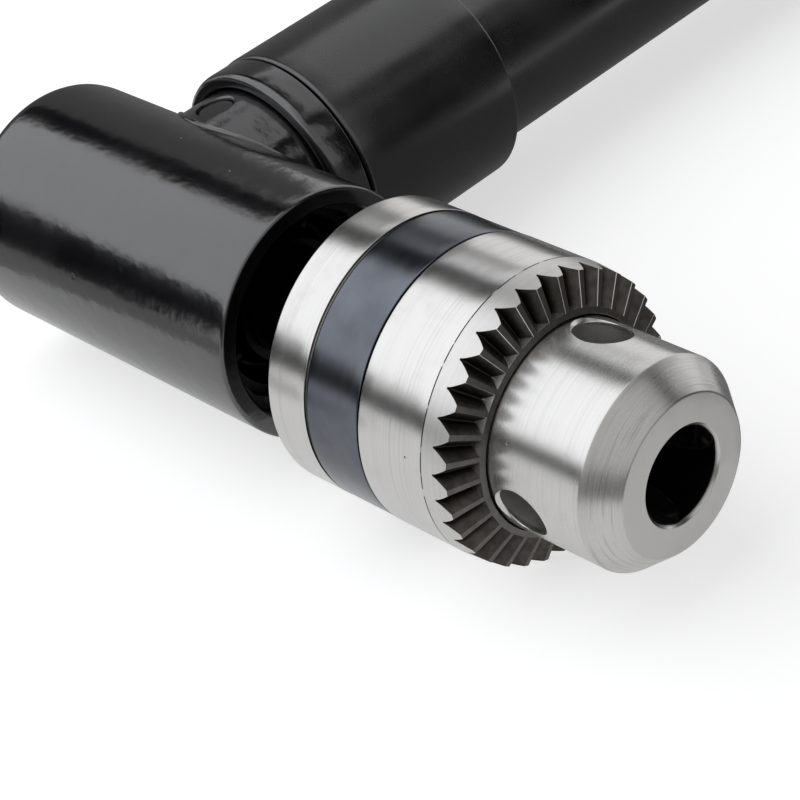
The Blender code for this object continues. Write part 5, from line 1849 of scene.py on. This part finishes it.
@dataclass(frozen=True)
class Studio:
    """The pale floor, the lamps, the cards and the camera."""

    floor_size: float = 12.0
    floor_colour: Colour = (0.55, 0.55, 0.55)
    floor_lift: float = 0.62
    floor_shown: float = 0.7
    ambient: float = 0.30
    camera_place: Triple = (0.19728, -0.22799, 0.17971)
    camera_right: Triple = (0.68948, 0.70196, -0.17853)
    camera_up: Triple = (-0.32351, 0.51898, 0.79120)
    lens: float = 114.8
    sensor: float = 36.0
    clip: tuple[float, float] = (0.01, 50.0)
    lamps: tuple[Softbox, ...] = (
        Softbox("overhead_softbox", (-0.81, -0.535, 0.81), (1.90, 1.51), 1.52, (0.0, -0.5, 0.866)),
        Softbox("rear_softbox", (-0.28, 0.57, 0.78), (1.16, 0.24), 0.9),
    )
    flags: tuple[Flag, ...] = (
        Flag("flag_beside_softbox", (-1.22, 0.293, 0.79), (1.40, 0.35)),
        Flag("flag_between_lamps", (-0.20, 0.25, 0.79), (0.90, 0.18)),
        Flag("card_behind_top", (-1.56, 0.84, 0.79), (1.28, 0.74), tone=0.2),
        Flag("card_behind", (-1.44, 0.43, 0.395), (1.46, 0.79), (0.94, -0.342, 0.0), tone=0.2),
        Flag("card_behind_floor", (-1.58, 1.00, 0.0015), (3.00, 2.10), tone=0.2),
        Flag("flag_front", (-1.00, -1.20, 0.165), (3.20, 0.33), ALONG_Y),
        Flag("flag_front_high", (-2.00, -1.15, 0.23), (2.10, 0.46), ALONG_Y),
        # Partly painted shadow: these two floor cards stand in, in reflections, for the object's
        # shadow on the floor in front of it, and for a darker floor beyond.
        Flag("flag_front_floor", (-0.713, -0.629, 0.0015), (1.50, 0.30), spin=FRONT_SPIN),
        Flag("card_front_near", (-0.125, -0.110, 0.001), (0.06, 0.20), UP, 0.45, FRONT_SPIN),
        Flag("flag_right", (0.50, 0.62, 0.25), (0.76, 0.50), ALONG_X),
        Flag("flag_right_high", (0.50, 0.50, 0.675), (0.20, 0.35), ALONG_X),
        Flag("flag_right_top", (0.42, 1.15, 0.86), (0.20, 2.20)),
        Flag("card_right_high", (0.50, 0.70, 0.675), (0.20, 0.35), ALONG_X, tone=0.2),
        Flag("card_right", (0.52, -0.225, 0.68), (1.35, 1.04), ALONG_X, tone=0.64),
        Flag("card_right_low", (0.52, -0.225, 0.08), (1.35, 0.16), ALONG_X, tone=0.2),
        # Partly painted shadow: these three floor cards stand in, in reflections, for the arm's
        # shadow on the floor beside it, and for a darker floor there.
        Flag("card_right_floor", (0.331, 0.2975, 0.0015), (0.538, 0.705), tone=0.17),
        Flag("card_right_near", (0.016, -0.0325, 0.0015), (0.092, 0.065), tone=0.17),
        Flag("card_right_grip", (0.001, 0.125, 0.0015), (0.062, 0.25), tone=0.17),
        Flag("card_camera_floor", (0.354, -0.470, 0.001), (0.80, 0.36), UP, 0.16, CAMERA_SPIN),
    )

    def seen(self, nodes: Nodes, mirrored: float = 1.0) -> Num:
        """Return 1 for camera rays, a share for the mirrored ones, and 0 for the rest."""
        path = nodes.node("ShaderNodeLightPath").outputs
        kinds = ("Is Camera Ray", "Is Glossy Ray", "Is Transmission Ray")
        camera, glossy, through = (Num(nodes, path[kind]) for kind in kinds)
        return (camera + (glossy + through) * mirrored).math("MINIMUM", 1.0)

    def build_world(self) -> None:
        """Make the world: white where it is seen, and a low even light elsewhere."""
        world = bpy.data.worlds.new("white_sweep")
        world.use_nodes = True
        nodes = Nodes(world.node_tree)
        background = world.node_tree.nodes["Background"].inputs
        nodes.feed(background["Color"], WHITE)
        nodes.feed(background["Strength"], self.seen(nodes) * (1.0 - self.ambient) + self.ambient)
        bpy.context.scene.world = world

    def build_floor(self) -> None:
        """Make the floor, white where it is seen and pale in the object's shadow."""
        mesh = sheet("floor", (self.floor_size, self.floor_size), Matrix.Identity(4))
        shader = Shader("floor_white")
        lift = self.seen(shader, self.floor_shown) * self.floor_lift
        shader.finish(
            Base_Color=self.floor_colour,
            Roughness=1.0,
            Specular_IOR_Level=0.0,
            Emission_Color=shader.mix(lift, BLACK, WHITE),
            Emission_Strength=1.0,
        )
        mesh.materials.append(shader.material)
        shown("floor", mesh)

    def build_cards(self) -> None:
        """Put up the lamps and the cards."""
        for lamp in self.lamps:
            lamp.build()
            lamp.backing().build()
        for flag in self.flags:
            flag.build()

    def build_camera(self) -> None:
        """Put the camera where the photograph was taken from."""
        data = bpy.data.cameras.new("camera")
        data.lens = self.lens
        data.sensor_width = self.sensor
        data.clip_start, data.clip_end = self.clip
        right, up = Vector(self.camera_right).normalized(), Vector(self.camera_up).normalized()
        back = right.cross(up).normalized()
        up = back.cross(right)
        turn = Matrix((right, up, back)).transposed().to_4x4()
        holder = bpy.data.objects.new("camera", data)
        holder.matrix_world = Matrix.Translation(self.camera_place) @ turn
        bpy.context.scene.collection.objects.link(holder)
        bpy.context.scene.camera = holder

    def build(self) -> None:
        """Set up the whole studio."""
        bpy.context.scene.view_settings.view_transform = "Standard"
        self.build_world()
        self.build_floor()
        self.build_cards()
        self.build_camera()


@dataclass(frozen=True)
class Adapter:
    """The whole tool, as the sub-assemblies that are built in order."""

    bearings: tuple[BallBearing, ...] = (
        BallBearing(
            node="front_bearing",
            axis=Axis.OUTPUT,
            finish=SHADED_GREASED_BEARING,
            balls_body=Body.FRONT_BALLS,
            inner_body=Body.OUTPUT,
            bore=5.0 * MM,
            outer=13.0 * MM,
            ball=2.38 * MM,
        ),
        BallBearing(
            node="rear_bearing",
            axis=Axis.OUTPUT,
            finish=BEARING_ON_OUTPUT,
            balls_body=Body.REAR_BALLS,
            inner_body=Body.OUTPUT,
            bore=3.0 * MM,
            outer=9.5 * MM,
            ball=1.75 * MM,
        ),
        *(
            BallBearing(
                node=node,
                axis=Axis.ARM,
                finish=BEARING_ON_ARM,
                balls_body=balls_body,
                inner_body=Body.DRIVE,
                bore=4.0 * MM,
                outer=11.0 * MM,
                ball=1.98 * MM,
            )
            for node, balls_body in (
                ("neck_bearing_front", Body.NECK_FRONT_BALLS),
                ("neck_bearing_rear", Body.NECK_REAR_BALLS),
            )
        ),
    )
    others: tuple[Head | Handle | Shaft | Spindle | Chuck | Gearing, ...] = field(
        default_factory=lambda: (Head(), Handle(), Shaft(), Spindle(), Chuck(), Gearing())
    )

    def build(self) -> None:
        """Build every sub-assembly and report it."""
        for part in (*self.bearings, *self.others):
            part.build()
            log.info("built %s", type(part).__name__)


def main() -> None:
    """Build the studio and the tool."""
    logging.basicConfig(level=logging.INFO, format="%(message)s")
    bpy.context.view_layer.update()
    Studio().build()
    Adapter().build()


if __name__ == "__main__":
    main()
